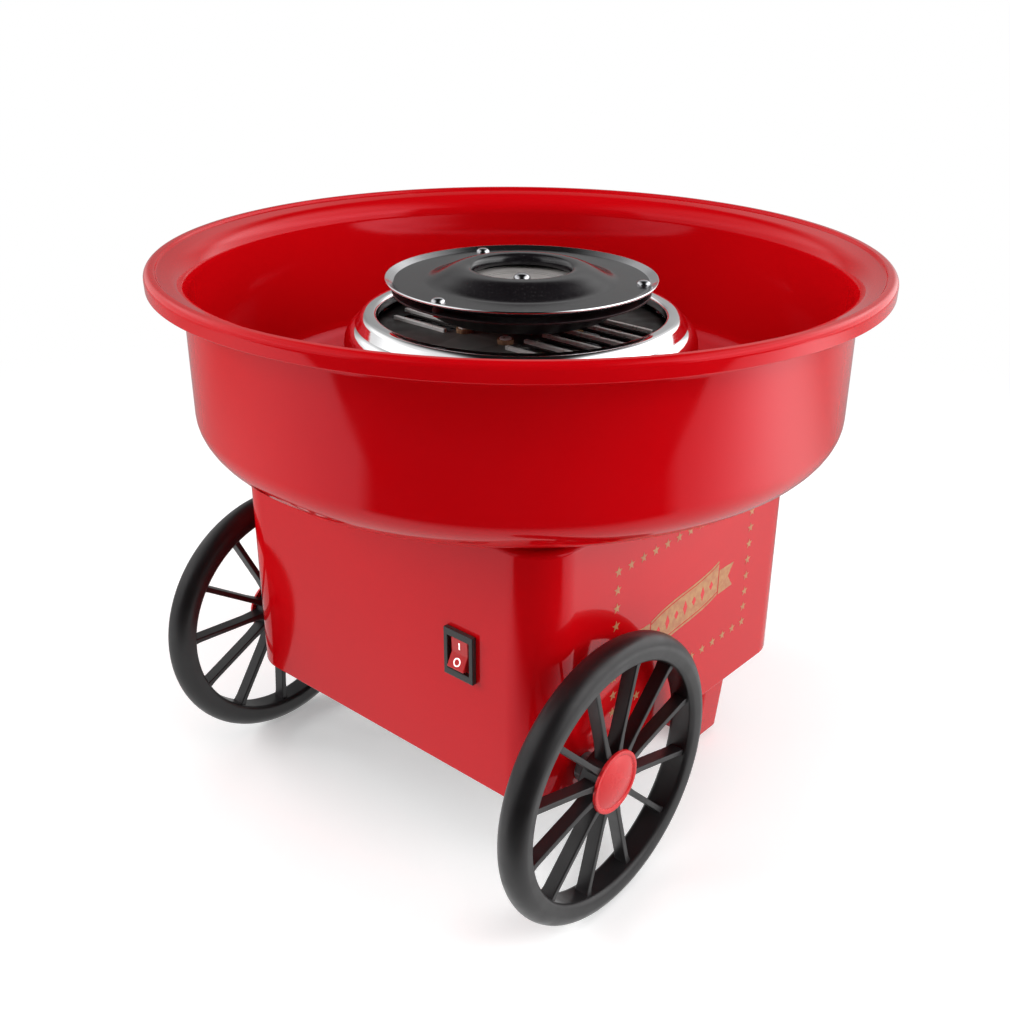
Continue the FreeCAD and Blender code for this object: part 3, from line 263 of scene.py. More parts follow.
# ----------------------------
# Print on the right wall
# A frame of small stars round a plain ribbon, screen printed in flat gold ink.
# The ink stands a few hundredths of a millimetre proud of the wall.
# ----------------------------
STAR_FRAME_Y = (-45.1, 51.6)
STAR_FRAME_Z = (76.6, 139.8)
STARS_ACROSS = 13
STARS_UP = 9
STAR_RADIUS = 2.4
STAR_WAIST = 0.95
INK_DEPTH = 0.08
RIBBON_MIDDLE = (3.25, 104.0)
RIBBON_HALF = 8.2
RIBBON_REACH = 24.5
RIBBON_RISE = 0.09
RIBBON_BOW = 2.2
RIBBON_STEPS = 14
RIBBON_LINE = 1.0
RIBBON_GAP = 0.6
TAIL_START = 25.3
TAIL_END = 36.5
TAIL_HALF = 5.6
TAIL_NOTCH = 4.0
TAIL_DROP = 0.6
DIAMOND_PITCH = 6.4
DIAMOND_HALF = 1.5
DIAMOND_TALL = (3.6, 2.2)
DIAMOND_DEPTH = 0.03
GOLD = (0.46, 0.24, 0.10)
GOLD_THIN = (0.40, 0.15, 0.065)


def gold_ink_material():
    material = new_material("gold ink", GOLD, 0.42)
    patchy = spread(material, grain(material, 420.0, 4.0), 0.0, 1.0, 0.38, 0.62)
    join_socket(material, blend_colours(material, patchy, GOLD_THIN, GOLD), "Base Color")
    vary_roughness(material, grain(material, 900.0), 0.34, 0.55)
    bumps(material, [(grain(material, 2600.0, 2.0), 0.000006)])
    return material


def wall_place(across, up, depth=0.0):
    """Drawing axes on the right wall: across is +Y, up is +Z, and the ink faces +X."""
    right = (0.0, 0.0, 1.0, housing_high[0] * MM + depth * MM)
    along = (1.0, 0.0, 0.0, across * MM)
    height = (0.0, 1.0, 0.0, up * MM)
    return Matrix((right, along, height, (0.0, 0.0, 0.0, 1.0)))


def add_ink(bm, shape, place, thickness=INK_DEPTH):
    """Give a drawn shape the thickness of the ink and lay it on the wall."""
    pull_faces(shape, shape.faces[:], (0, 0, thickness), keep=True)
    bmesh.ops.transform(shape, matrix=place, verts=shape.verts)
    append_mesh(bm, shape)


def add_star(bm, across, up):
    star = bmesh.new()
    circle = bmesh.ops.create_circle(star, cap_ends=True, segments=10, radius=STAR_WAIST * MM,
                                     matrix=Matrix.Rotation(math.radians(90), 4, "Z"))
    points = circle["verts"][::2]
    out = STAR_RADIUS / STAR_WAIST
    bmesh.ops.scale(star, vec=(out, out, 1.0), verts=points)
    highest = max(points, key=lambda v: v.co.length)
    turn(star, 90 - math.degrees(math.atan2(highest.co.y, highest.co.x)), "Z")
    add_ink(bm, star, wall_place(across, up))


def add_outline(bm, points, depth=0.0, thickness=INK_DEPTH):
    """A flat shape from its corner points in the wall's drawing axes."""
    shape = bmesh.new()
    shape.faces.new([shape.verts.new((y * MM, z * MM, 0)) for y, z in points])
    add_ink(bm, shape, wall_place(0, 0, depth), thickness)


def ribbon_level(along):
    """The height of the ribbon's middle line, which rises and bows a little."""
    return RIBBON_MIDDLE[1] + RIBBON_RISE * along + RIBBON_BOW * (along / RIBBON_REACH) ** 3


def ribbon_edge(offset, side):
    """Points along one long edge of the ribbon's band."""
    shares = [2 * number / RIBBON_STEPS - 1 for number in range(RIBBON_STEPS + 1)]
    places = [side * RIBBON_REACH * share for share in shares]
    return [(RIBBON_MIDDLE[0] + along, ribbon_level(along) + offset) for along in places]


def evenly(ends, number, count):
    """The place of one of so many, spaced evenly between two ends."""
    return ends[0] + (ends[1] - ends[0]) * number / (count - 1)


gold_ink = gold_ink_material()
prints = bmesh.new()
for number in range(STARS_ACROSS):
    for up in STAR_FRAME_Z:
        add_star(prints, evenly(STAR_FRAME_Y, number, STARS_ACROSS), up)
for number in range(1, STARS_UP - 1):
    for across in STAR_FRAME_Y:
        add_star(prints, across, evenly(STAR_FRAME_Z, number, STARS_UP))
line_inside = RIBBON_HALF - RIBBON_LINE
band_half = line_inside - RIBBON_GAP
for low, high in ((-RIBBON_HALF, -line_inside), (-band_half, band_half), (line_inside, RIBBON_HALF)):
    add_outline(prints, ribbon_edge(low, 1) + ribbon_edge(high, -1))
for side in (-1, 1):
    level = RIBBON_MIDDLE[1] + side * RIBBON_BOW
    tail = [(TAIL_END, level - TAIL_HALF), (TAIL_END - TAIL_NOTCH, level), (TAIL_END, level + TAIL_HALF)]
    tail += [(TAIL_START, level + TAIL_HALF), (TAIL_START, level - TAIL_HALF - TAIL_DROP)]
    placed = [(RIBBON_MIDDLE[0] + side * y, z) for y, z in tail]
    add_outline(prints, placed[::side])
make_piece("gold_print", prints, gold_ink, "base")

ribbon_marks = bmesh.new()
for number in range(-3, 4):
    along = number * DIAMOND_PITCH
    level = ribbon_level(along)
    across = RIBBON_MIDDLE[0] + along
    tall = DIAMOND_TALL[number % 2]
    diamond = [(across - DIAMOND_HALF, level), (across, level - tall)]
    diamond += [(across + DIAMOND_HALF, level), (across, level + tall)]
    add_outline(ribbon_marks, diamond, INK_DEPTH, DIAMOND_DEPTH)
make_piece("ribbon_diamonds", ribbon_marks, red_plastic, "base")


# ----------------------------
# Rear leg
# A second red moulding with two feet and an arch between them. It tapers towards the floor
# and is screwed up against the bottom cover, inset from the walls of the housing.
# ----------------------------
LEG_ARCH_HALF = 40.0
LEG_ARCH_TOP = 34.0
LEG_ARCH_ROUND = 14.0
LEG_FOOT_INSET = 4.0
LEG_FACE_DRAFT = 2.0
LEG_CORNER_ROUND = 3.8

leg_low, leg_high = in_millimetres(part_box("rear_leg"))
leg = bmesh.new()
foot_x = leg_high[0] - LEG_FOOT_INSET
outline = [(-foot_x, leg_low[2]), (-LEG_ARCH_HALF, leg_low[2]), (-LEG_ARCH_HALF, LEG_ARCH_TOP)]
outline += [(LEG_ARCH_HALF, LEG_ARCH_TOP), (LEG_ARCH_HALF, leg_low[2]), (foot_x, leg_low[2])]
outline += [(leg_high[0], leg_high[2]), (leg_low[0], leg_high[2])]
front = leg.faces.new([leg.verts.new((x * MM, leg_low[1] * MM, z * MM)) for x, z in outline])
arch_corners = [v for v in front.verts if abs(v.co.z - LEG_ARCH_TOP * MM) < NEARBY * MM]
round_off(leg, arch_corners, LEG_ARCH_ROUND, 10, "VERTICES")
pull_faces(leg, leg.faces[:], (0, leg_high[1] - leg_low[1], 0), keep=True)
leg_middle = (leg_low[1] + leg_high[1]) / 2
for vert in leg.verts:
    taper = LEG_FACE_DRAFT * (leg_high[2] * MM - vert.co.z) / (leg_high[2] - leg_low[2])
    vert.co.y -= taper * (1 if vert.co.y > leg_middle * MM else -1)
beyond_arch = (LEG_ARCH_HALF + 5.0) * MM
outer = [e for e in upright_edges(leg) if all(abs(v.co.x) > beyond_arch for v in e.verts)]
round_off(leg, outer, LEG_CORNER_ROUND, 6)
make_piece("rear_leg_moulding", leg, red_plastic, "base", ["rear_leg"], edge=0.7)


# ----------------------------
# Bottom cover, screws and foot pads
# A black plate with vent slots closes the housing. Zinc plated screws hold it and the leg,
# and two rubber pads under the leg keep the machine from sliding.
# ----------------------------
BLACK = (0.0080, 0.0071, 0.0077)
BLACK_PALE = (0.0150, 0.0135, 0.0143)
ZINC = (0.55, 0.55, 0.57)
ZINC_DARK = (0.40, 0.40, 0.43)
RUBBER = (0.018, 0.017, 0.017)
RUBBER_BLOOM = (0.035, 0.034, 0.033)


def satin_plastic(name, colour, pale, roughness, spark=2400.0, depth=0.000012):
    """Moulded satin plastic with the fine spark texture of its tool."""
    material = new_material(name, colour, roughness)
    tone = mottled(material, grain(material, 40.0, 4.0), colour, pale, 0.5)
    join_socket(material, edge_wear(material, tone, tuple(3 * c for c in pale)), "Base Color")
    vary_roughness(material, grain(material, 120.0, 4.0), roughness * 0.85, roughness * 1.2)
    bumps(material, [(grain(material, 70.0, 2.0), 0.00006), (grain(material, spark, 2.0), depth)])
    return material


def plain_metal(name, colour, dark, roughness, scale=300.0, stretch=(1.0, 1.0, 1.0), depth=0.000005):
    """Bare or plated metal with faint marks, stretched where it was drawn or rolled."""
    material = new_material(name, colour, roughness, 1.0)
    marks = grain(material, scale, 5.0, stretch)
    join_socket(material, mottled(material, marks, dark, colour), "Base Color")
    vary_roughness(material, marks, roughness * 0.7, roughness * 1.4)
    bumps(material, [(marks, depth)])
    return material


def rubber(name):
    material = new_material(name, RUBBER, 0.75)
    bloom = mottled(material, grain(material, 90.0, 5.0), RUBBER, RUBBER_BLOOM)
    join_socket(material, bloom, "Base Color")
    vary_roughness(material, grain(material, 500.0), 0.62, 0.9)
    bumps(material, [(grain(material, 1600.0, 3.0), 0.00003)])
    return material


def dress(material, *nodes):
    """Give CAD nodes that show as they are their finish."""
    for name in nodes:
        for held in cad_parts[name].material_slots:
            held.material = material


black_plastic = satin_plastic("black satin plastic", BLACK, BLACK_PALE, 0.36)
zinc_steel = plain_metal("zinc plated steel", ZINC, ZINC_DARK, 0.34)
black_rubber = rubber("black rubber")
dress(black_plastic, "bottom_cover", "cooling_fan")
dress(zinc_steel, "cover_screws", "leg_screws", "plate_screws", "mount_screws")
dress(zinc_steel, "motor_screws", "shroud_screws")
dress(black_rubber, "foot_pads", "rubber_mounts")


# ----------------------------
# Axle, spacers and nuts
# A bright steel rod runs through both walls. A grey plastic spacer keeps each wheel off the
# wall, and a pressed nut inside the wheel's pocket holds the wheel on.
# ----------------------------
SPACER_RADIUS = 6.0
AXLE_BORE = 3.05
AXLE_Y = -62.7
AXLE_Z = 60.5
GREY = (0.085, 0.083, 0.088)
GREY_PALE = (0.13, 0.13, 0.135)
STEEL = (0.66, 0.66, 0.68)
STEEL_DARK = (0.50, 0.50, 0.52)


def spin_round(bm, steps):
    bmesh.ops.spin(bm, geom=bm.verts[:] + bm.edges[:], cent=(0, 0, 0), axis=(0, 0, 1),
                   angle=2 * math.pi, steps=steps, use_merge=True)


def turned(outline, steps, rounded=(), closed=True, segments=4):
    """A shape turned about Z from its half section in millimetres.

    Rounded gives the numbers of corners and their radii.
    """
    bm = bmesh.new()
    corners = [bm.verts.new((r * MM, 0.0, z * MM)) for r, z in outline]
    for pair in zip(corners, corners[1:]):
        bm.edges.new(pair)
    if closed:
        bm.edges.new((corners[-1], corners[0]))
    for number, radius in rounded:
        round_off(bm, [corners[number]], radius, segments, "VERTICES")
    spin_round(bm, steps)
    bmesh.ops.remove_doubles(bm, verts=bm.verts, dist=WELD / 2 * MM)
    return bm


def raised(profile, level):
    """A profile with its heights taken from a level."""
    return [(radius, level + height) for radius, height in profile]


def onto_axle(bm, side, phase=0.0):
    """Lay a shape that was turned about Z along the axle, on the side given."""
    lying = Matrix.Rotation(math.radians(90), 4, "Y")
    if side < 0:
        lying = Matrix.Rotation(math.radians(180), 4, "Z") @ lying
    spin = Matrix.Rotation(math.radians(phase), 4, "X")
    place = Matrix.Translation((0, AXLE_Y * MM, AXLE_Z * MM))
    bmesh.ops.transform(bm, matrix=place @ spin @ lying, verts=bm.verts)


bright_steel = plain_metal("bright steel", STEEL, STEEL_DARK, 0.16, 500.0)
grey_plastic = satin_plastic("dark grey plastic", GREY, GREY_PALE, 0.36)
dress(bright_steel, "axle", "axle_nut_left", "axle_nut_right", "motor_shaft")
for side, word in ((-1, "left"), (1, "right")):
    start, end = sorted(abs(c[0]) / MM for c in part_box("axle_spacer_" + word))
    section = [(AXLE_BORE, start), (SPACER_RADIUS, start), (SPACER_RADIUS, end), (AXLE_BORE, end)]
    spacer = turned(section, 48, [(1, 0.5), (2, 0.5)], segments=3)
    onto_axle(spacer, side)
    make_piece("spacer_" + word, spacer, grey_plastic, "base", ["axle_spacer_" + word])


# ----------------------------
# Wheels
# Each wheel is one black satin moulding: a thick rim, flat inside and rounded outside, and
# twelve flat spokes that run into a short hub. It turns freely on the axle.
# ----------------------------
WHEEL_RADIUS = 60.5
WHEEL_MIDDLE = 101.0
RIM_HALF_WIDTH = 6.5
RIM_CROWN = 6.0
RIM_CROWN_STEPS = 20
RIM_FLANK = 4.5
RIM_BEND = (2.7, 6.15)
RIM_INNER_HALF = 5.0
SPOKES = 12
SPOKE_HALF_DEPTH = 3.0
SPOKE_HALF_THICK = 1.2
SPOKE_ENDS = (9.0, 52.5)
SPOKE_SWELL = (0.45, 0.16)
SPOKE_SWELL_START = 0.72
SPOKE_ROUND = 0.5
HUB_RADIUS = 11.5
HUB_FACES = (95.0, 104.2)
HUB_POCKET = (8.5, 99.5)
WHEEL_PHASE = {"right": 15.0, "left": -3.5}


def rim_section():
    """Half section of the rim as (radius, place along the axle)."""
    centre = WHEEL_RADIUS - RIM_CROWN
    turns = [math.pi * number / RIM_CROWN_STEPS for number in range(RIM_CROWN_STEPS + 1)]
    points = [(centre + RIM_CROWN * math.sin(t), RIM_HALF_WIDTH * math.cos(t)) for t in turns]
    bend, bend_half = RIM_BEND
    inner = centre - RIM_FLANK
    points += [(centre - bend, -bend_half), (inner, -RIM_INNER_HALF), (inner, RIM_INNER_HALF)]
    points.append((centre - bend, bend_half))
    return raised(points, WHEEL_MIDDLE)


def add_spoke(bm, number):
    """A flat blade with a slight swell where it meets the rim and the hub."""
    root, tip = SPOKE_ENDS
    spoke = block((-SPOKE_HALF_THICK, -SPOKE_HALF_DEPTH, root), (SPOKE_HALF_THICK, SPOKE_HALF_DEPTH, tip))
    bmesh.ops.subdivide_edges(spoke, edges=upright_edges(spoke), cuts=7, use_grid_fill=True)
    for vert in spoke.verts:
        from_middle = abs((vert.co.z / MM - HUB_RADIUS) / (tip - HUB_RADIUS) - 0.5) * 2
        swell = max(0.0, from_middle - SPOKE_SWELL_START) / (1.0 - SPOKE_SWELL_START)
        vert.co.x *= 1.0 + SPOKE_SWELL[0] * swell
        vert.co.y *= 1.0 + SPOKE_SWELL[1] * swell
    long_edges = [e for e in upright_edges(spoke) if e.calc_face_angle(0) > 1.0]
    round_off(spoke, long_edges, SPOKE_ROUND, 3)
    turn(spoke, 90, "Y")
    turn(spoke, 90, "X")
    shift(spoke, (0, 0, WHEEL_MIDDLE))
    turn(spoke, 360.0 / SPOKES * number, "Z")
    append_mesh(bm, spoke)


def wheel_mesh():
    wheel = turned(rim_section(), 144, [(22, 1.2), (23, 1.2)])
    inside, outside = HUB_FACES
    pocket, pocket_floor = HUB_POCKET
    section = [(AXLE_BORE, inside), (HUB_RADIUS, inside), (HUB_RADIUS, outside)]
    section += [(pocket, outside), (pocket, pocket_floor), (AXLE_BORE, pocket_floor)]
    append_mesh(wheel, turned(section, 64, [(1, 0.8), (2, 0.5)], segments=3))
    for number in range(SPOKES):
        add_spoke(wheel, number)
    return wheel


for side, word in ((-1, "left"), (1, "right")):
    wheel = wheel_mesh()
    onto_axle(wheel, side, WHEEL_PHASE[word])
    body = "wheel_" + word
    make_piece("cart_wheel_" + word, wheel, black_plastic, body, ["wheel_" + word])


# ----------------------------
# Hub caps
# A red disc with a raised border and a shallow dome, pressed into the hub's pocket so that it
# hides the axle nut. It turns with its wheel.
# ----------------------------
CAP_FACE = 104.2
CAP_SPIGOT = [(7.2, 0.0), (7.2, -2.7), (8.45, -2.7), (8.45, 0.0)]
CAP_BORDER = [(13.3, 0.0), (13.3, 1.35), (11.8, 1.35), (11.3, 0.75)]
CAP_DOME = [(9.0, 1.75), (5.5, 2.45), (2.5, 2.75), (1.2, 2.8), (0.0, 2.8), (0.0, 0.0)]
CAP_RED = (0.60, 0.012, 0.016)
CAP_RED_DEEP = (0.54, 0.010, 0.013)
CAP_RED_WORN = (0.75, 0.09, 0.09)

cap_red = gloss_plastic("red cap plastic", CAP_RED, CAP_RED_DEEP, CAP_RED_WORN, 0.26)
for side, word in ((-1, "left"), (1, "right")):
    section = raised(CAP_SPIGOT + CAP_BORDER + CAP_DOME, CAP_FACE)
    cap = turned(section, 96, [(5, 0.5), (6, 0.5), (7, 0.35)], closed=False)
    onto_axle(cap, side)
    make_piece("cap_" + word, cap, cap_red, "wheel_" + word, ["hub_cap_" + word])


# ----------------------------
# Rocker switch
# A snap-in black frame in the front wall with a clear red rocker. The I end is pressed in at
# rest and the O end stands out. The marks are moulded in white.
# ----------------------------
SWITCH = (48.7, -89.0, 107.3)
BEZEL_HALF = (7.65, 10.4)
BEZEL_OUT = 2.2
SWITCH_BODY_HALF = 6.45
SWITCH_BODY_DEPTH = 13.0
OPENING_HALF = (4.7, 7.2)
OPENING_DEPTH = 10.0
ROCKER_HALF = (4.4, 6.2)
ROCKER_PIVOT_DEPTH = 0.8
ROCKER_TILT = -12.0
ROCKER_CREST = 3.6
ROCKER_VALLEY = 2.0
ROCKER_SIDE = 1.0
ROCKER_FOOT = (3.5, 4.5)
MARK_LEVEL = 3.3
MARK_IN = 0.08
MARK_OUT = 0.1
BAR_HALF = (0.33, 1.5)
RING_RADII = (1.2, 1.75)
SWITCH_BLACK = (0.016, 0.016, 0.015)
SWITCH_BLACK_DEEP = (0.011, 0.011, 0.011)
SWITCH_BLACK_WORN = (0.06, 0.06, 0.06)
ROCKER_RED = (0.50, 0.008, 0.010)
ROCKER_RED_DEEP = (0.43, 0.007, 0.009)
ROCKER_RED_WORN = (0.80, 0.10, 0.10)
MARK_WHITE = (0.66, 0.56, 0.55)
MARK_WHITE_PALE = (0.74, 0.66, 0.65)

switch_black = gloss_plastic("switch black plastic", SWITCH_BLACK, SWITCH_BLACK_DEEP,
                             SWITCH_BLACK_WORN, 0.22)
rocker_red = gloss_plastic("rocker red plastic", ROCKER_RED, ROCKER_RED_DEEP, ROCKER_RED_WORN, 0.14)
mark_white = satin_plastic("mark white", MARK_WHITE, MARK_WHITE_PALE, 0.30)

x, y, z = SWITCH
half_x, half_z = BEZEL_HALF
bezel = block((x - half_x, y - BEZEL_OUT, z - half_z), (x + half_x, y, z + half_z))
front_face = [f for f in bezel.faces if f.normal.y < -0.9]
bmesh.ops.inset_region(bezel, faces=front_face, thickness=(half_x - OPENING_HALF[0]) * MM)
for vert in front_face[0].verts:
    vert.co.z = (z + math.copysign(OPENING_HALF[1], vert.co.z / MM - z)) * MM
pull_faces(bezel, front_face, (0, BEZEL_OUT + OPENING_DEPTH, 0))
bmesh.ops.delete(bezel, geom=front_face, context="FACES_ONLY")
wall_faces = [f for f in bezel.faces if abs(f.calc_center_median().y - y * MM) < 10 * NEARBY * MM]
back_face = [f for f in wall_faces if f.normal.y > 0.9]
bmesh.ops.inset_region(bezel, faces=back_face, thickness=(half_x - SWITCH_BODY_HALF) * MM)
pull_faces(bezel, back_face, (0, SWITCH_BODY_DEPTH, 0))
bmesh.ops.delete(bezel, geom=[f for f in back_face if f.is_valid], context="FACES_ONLY")
make_piece("switch_bezel", bezel, switch_black, "base", ["switch_frame"], edge=0.55)


def into_switch(bm):
    """From the rocker's own axes, pivot at the origin and level, to its rest place."""
    turn(bm, ROCKER_TILT, "X")
    shift(bm, (SWITCH[0], SWITCH[1] + ROCKER_PIVOT_DEPTH, SWITCH[2]))


rocker = bmesh.new()
half_x, half_z = ROCKER_HALF
foot_z, foot_depth = ROCKER_FOOT
profile = [(-half_z, -ROCKER_CREST), (0.0, -ROCKER_VALLEY), (half_z, -ROCKER_CREST)]
profile += [(half_z, ROCKER_SIDE), (foot_z, foot_depth), (-foot_z, foot_depth), (-half_z, ROCKER_SIDE)]
corners = [rocker.verts.new((-half_x * MM, depth * MM, height * MM)) for height, depth in profile]
pull_faces(rocker, [rocker.faces.new(corners)], (2 * half_x, 0, 0), keep=True)
into_switch(rocker)
make_piece("rocker", rocker, rocker_red, "switch_rocker", ["switch_rocker"],
           crease=25.0, edge=0.45)

marks = bmesh.new()
bar = block((-BAR_HALF[0], -MARK_OUT, -BAR_HALF[1]), (BAR_HALF[0], MARK_IN, BAR_HALF[1]))
inner, outer = RING_RADII
ring = turned([(inner, -MARK_IN), (outer, -MARK_IN), (outer, MARK_OUT), (inner, MARK_OUT)], 32)
turn(ring, 90, "X")
fall = (ROCKER_CREST - ROCKER_VALLEY) / half_z
for mark, direction in ((bar, 1), (ring, -1)):
    turn(mark, direction * math.degrees(math.atan(fall)), "X")
    shift(mark, (0, -(ROCKER_VALLEY + fall * MARK_LEVEL), direction * MARK_LEVEL))
    append_mesh(marks, mark)
into_switch(marks)
make_piece("rocker_marks", marks, mark_white, "switch_rocker")


# ----------------------------
# Motor, inside the housing
# A shaded pole motor hangs from the motor plate on rubber rings: stacked steel, one taped
# coil, two brackets with the bearings, and a plastic fan on the lower end of the shaft.
# ----------------------------
STACK = (0.30, 0.30, 0.31)
STACK_DARK = (0.16, 0.16, 0.17)
STACK_STRETCH = (0.02, 0.02, 1.0)
TAPE = (0.30, 0.11, 0.03)
TAPE_PALE = (0.40, 0.17, 0.06)
BRASS = (0.72, 0.52, 0.22)
BRASS_DARK = (0.55, 0.38, 0.15)
TERMINAL = (0.70, 0.69, 0.65)
TERMINAL_PALE = (0.78, 0.77, 0.74)

laminated = plain_metal("stacked steel", STACK, STACK_DARK, 0.45, 3000.0, STACK_STRETCH, 0.00004)
coil_tape = satin_plastic("coil tape", TAPE, TAPE_PALE, 0.5, 900.0, 0.00004)
brass_tabs = plain_metal("brass", BRASS, BRASS_DARK, 0.3)
white_plastic = satin_plastic("white terminal plastic", TERMINAL, TERMINAL_PALE, 0.45)
dress(laminated, "motor_stator", "motor_rotor")
dress(coil_tape, "motor_coil")
dress(zinc_steel, "motor_bracket_upper", "motor_bracket_lower", "motor_plate", "vent_posts")
dress(brass_tabs, "switch_terminals")
dress(white_plastic, "terminal_block")


# ----------------------------
# Mains inlet
# A rubber bushing snapped into the rear wall, where the cord goes in. A groove round it
# grips the wall, and its wide collar rests on the outside.
# ----------------------------
INLET = (-45.0, 72.0)
INLET_WALL = 89.0
BUSHING_INSIDE = [(3.2, -4.5), (6.8, -4.5), (6.8, -2.5), (5.45, -2.5)]
BUSHING_COLLAR = [(5.45, 0.0), (8.0, 0.0), (8.0, 2.5), (3.2, 2.5)]

section = raised(BUSHING_INSIDE + BUSHING_COLLAR, INLET_WALL)
bushing = turned(section, 64, [(6, 1.2), (7, 0.7), (1, 0.5)])
turn(bushing, -90, "X")
shift(bushing, (INLET[0], 0, INLET[1]))
make_piece("inlet_bushing", bushing, black_rubber, "base", ["cord_bushing"])


# ----------------------------
# Vent plate and heater
# A heat blackened plate on three posts, cut with straight slots. The lip between two slots is
# pressed up and ground bright. The heater ring hangs under the plate on four ceramic studs.
# ----------------------------
LIP_PLACES = (5.7, 17.1, 28.5)
LIP_START = 17.0
LIP_REACH = 55.0
LIP_HALF = 0.92
LIP_LEVELS = (207.3, 209.52)
LIP_COVER = 0.12
HEATER_CIRCLE = 25.5
HEATER_TUBE = 2.2
HEATER_LEVEL = 200.5
HEATER_LEG_FOOT = 186.0
HEATER_LEG_RADIUS = 1.76
HEATER_LEG_ANGLES = (-8.0, 8.0)
STUD_ANGLES = (63.4, 116.6, 243.4, 296.6)
STUD_TOP = 209.8
STUD_CAP = [(0.0, 0.0), (2.5, 0.0), (2.5, 0.5), (1.5, 1.0), (0.0, 1.1)]
BLACKENED = (0.020, 0.017, 0.016)
BLACKENED_DEEP = (0.004, 0.0035, 0.0035)
BLACKENED_WORN = (0.30, 0.28, 0.27)
CUT_EDGE = (0.93, 0.91, 0.89)
CUT_EDGE_DARK = (0.78, 0.75, 0.73)
HEATER = (0.20, 0.17, 0.15)
HEATER_DARK = (0.08, 0.065, 0.06)
CERAMIC = (0.10, 0.048, 0.022)
CERAMIC_PALE = (0.20, 0.115, 0.065)


def heat_blackened():
    material = new_material("heat blackened steel", BLACKENED, 0.48)
    shader_of(material).inputs["Specular IOR Level"].default_value = 0.22
    scale = grain(material, 160.0, 6.0)
    tone = mottled(material, scale, BLACKENED_DEEP, BLACKENED)
    join_socket(material, edge_wear(material, tone, BLACKENED_WORN, 0.56, 0.64), "Base Color")
    vary_roughness(material, scale, 0.40, 0.62)
    bumps(material, [(scale, 0.00004)])
    return material


def repeat_about_axis(bm, radius, angles):
    """Copies of a small shape, turned about Z, at places on a circle."""
    group = bmesh.new()
    for angle in angles:
        one = bm.copy()
        shift(one, (radius * math.cos(math.radians(angle)), radius * math.sin(math.radians(angle)), 0))
        append_mesh(group, one)
    bm.free()
    return group


blackened = heat_blackened()
dress(blackened, "vent_plate")
cut_steel = plain_metal("bright cut steel", CUT_EDGE, CUT_EDGE_DARK, 0.34, 260.0)
shader_of(cut_steel).inputs["Metallic"].default_value = 0.20
lips = bmesh.new()
for place in LIP_PLACES:
    start, end = LIP_START - LIP_COVER, math.sqrt(LIP_REACH ** 2 - place ** 2) + LIP_COVER
    for y in (-place, place):
        for near, far in ((start, end), (-end, -start)):
            low, high = (near, y - LIP_HALF, LIP_LEVELS[0]), (far, y + LIP_HALF, LIP_LEVELS[1])
            append_mesh(lips, block(low, high))
make_piece("slot_lips", lips, cut_steel, "base", edge=0.35)

heater_skin = plain_metal("oxidised heater tube", HEATER, HEATER_DARK, 0.5, 220.0)
element = bmesh.new()
bmesh.ops.create_circle(element, segments=20, radius=HEATER_TUBE * MM)
turn(element, 90, "X")
shift(element, (HEATER_CIRCLE, 0, HEATER_LEVEL))
spin_round(element, 96)
foot, head = (HEATER_LEG_RADIUS, HEATER_LEG_FOOT), (HEATER_LEG_RADIUS, HEATER_LEVEL)
leg = turned([(0.0, HEATER_LEG_FOOT), foot, head, (0.0, HEATER_LEVEL)], 24, closed=False)
append_mesh(element, repeat_about_axis(leg, HEATER_CIRCLE, HEATER_LEG_ANGLES))
make_piece("heater_tube", element, heater_skin, "base", ["heating_element"])

ceramic = satin_plastic("brown ceramic", CERAMIC, CERAMIC_PALE, 0.62, 1200.0, 0.00003)
dress(ceramic, "heater_posts")
stud_cap = turned(raised(STUD_CAP, STUD_TOP), 32, [(2, 0.3), (3, 0.3)], closed=False, segments=3)
stud_caps = repeat_about_axis(stud_cap, HEATER_CIRCLE, STUD_ANGLES)
make_piece("stud_caps", stud_caps, cut_steel, "base")


# ----------------------------
# Heater shroud
# Spun from one bright sheet and polished: a skirt, a round shoulder, and an edge that slopes up
# and is rolled in flat round the mouth. Three screws hold its foot to the deck.
# ----------------------------
SHROUD_RADIUS = 76.0
SHROUD_SHEET = 1.0
SHROUD_FOOT = (66.2, 160.0, 160.8)
SHROUD_SKIRT_TOP = 180.0
SHROUD_SHOULDER = ((0.0, 206.5), (2.2, 209.6))
SHROUD_SHELF = (69.0, 211.3)
SHROUD_ROLL = (60.5, 66.5, 210.6, 215.6)
SHROUD_LIP = 70.0
SHROUD_CROWN = 0.25
SPIN_LINES = 2600.0
SPIN_DEPTH = 0.0000035
POLISHED = (0.93, 0.93, 0.94)
POLISHED_DARK = (0.87, 0.87, 0.88)


def spun_metal(name, colour, dark, roughness):
    """Polished sheet with faint rings round its axis from spinning and buffing."""
    material = new_material(name, colour, roughness, 1.0)
    x, y, z = add_node(material, "SeparateXYZ", {"Vector": own_place(material)}).outputs
    flat = add_node(material, "CombineXYZ", {"X": x, "Y": y}).outputs[0]
    radius = add_node(material, "VectorMath", {0: flat}, operation="LENGTH").outputs["Value"]
    rings = add_node(material, "CombineXYZ", {"X": radius, "Y": z}).outputs[0]
    inputs = {"Vector": rings, "Scale": SPIN_LINES, "Detail": 2.0}
    noise = add_node(material, "TexNoise", inputs).outputs[0]
    join_socket(material, mottled(material, grain(material, 60.0, 5.0), dark, colour), "Base Color")
    vary_roughness(material, noise, roughness * 0.7, roughness * 1.5)
    bumps(material, [(noise, SPIN_DEPTH), (grain(material, 30.0, 1.0), 0.0001)])
    return material


def curve_points(knots, count):
    """Points on a curve, from its start, two handles and end as (radius, height)."""
    flat = [Vector((r, 0.0, z)) for r, z in knots]
    return [(p.x, p.z) for p in interpolate_bezier(*flat, count)]


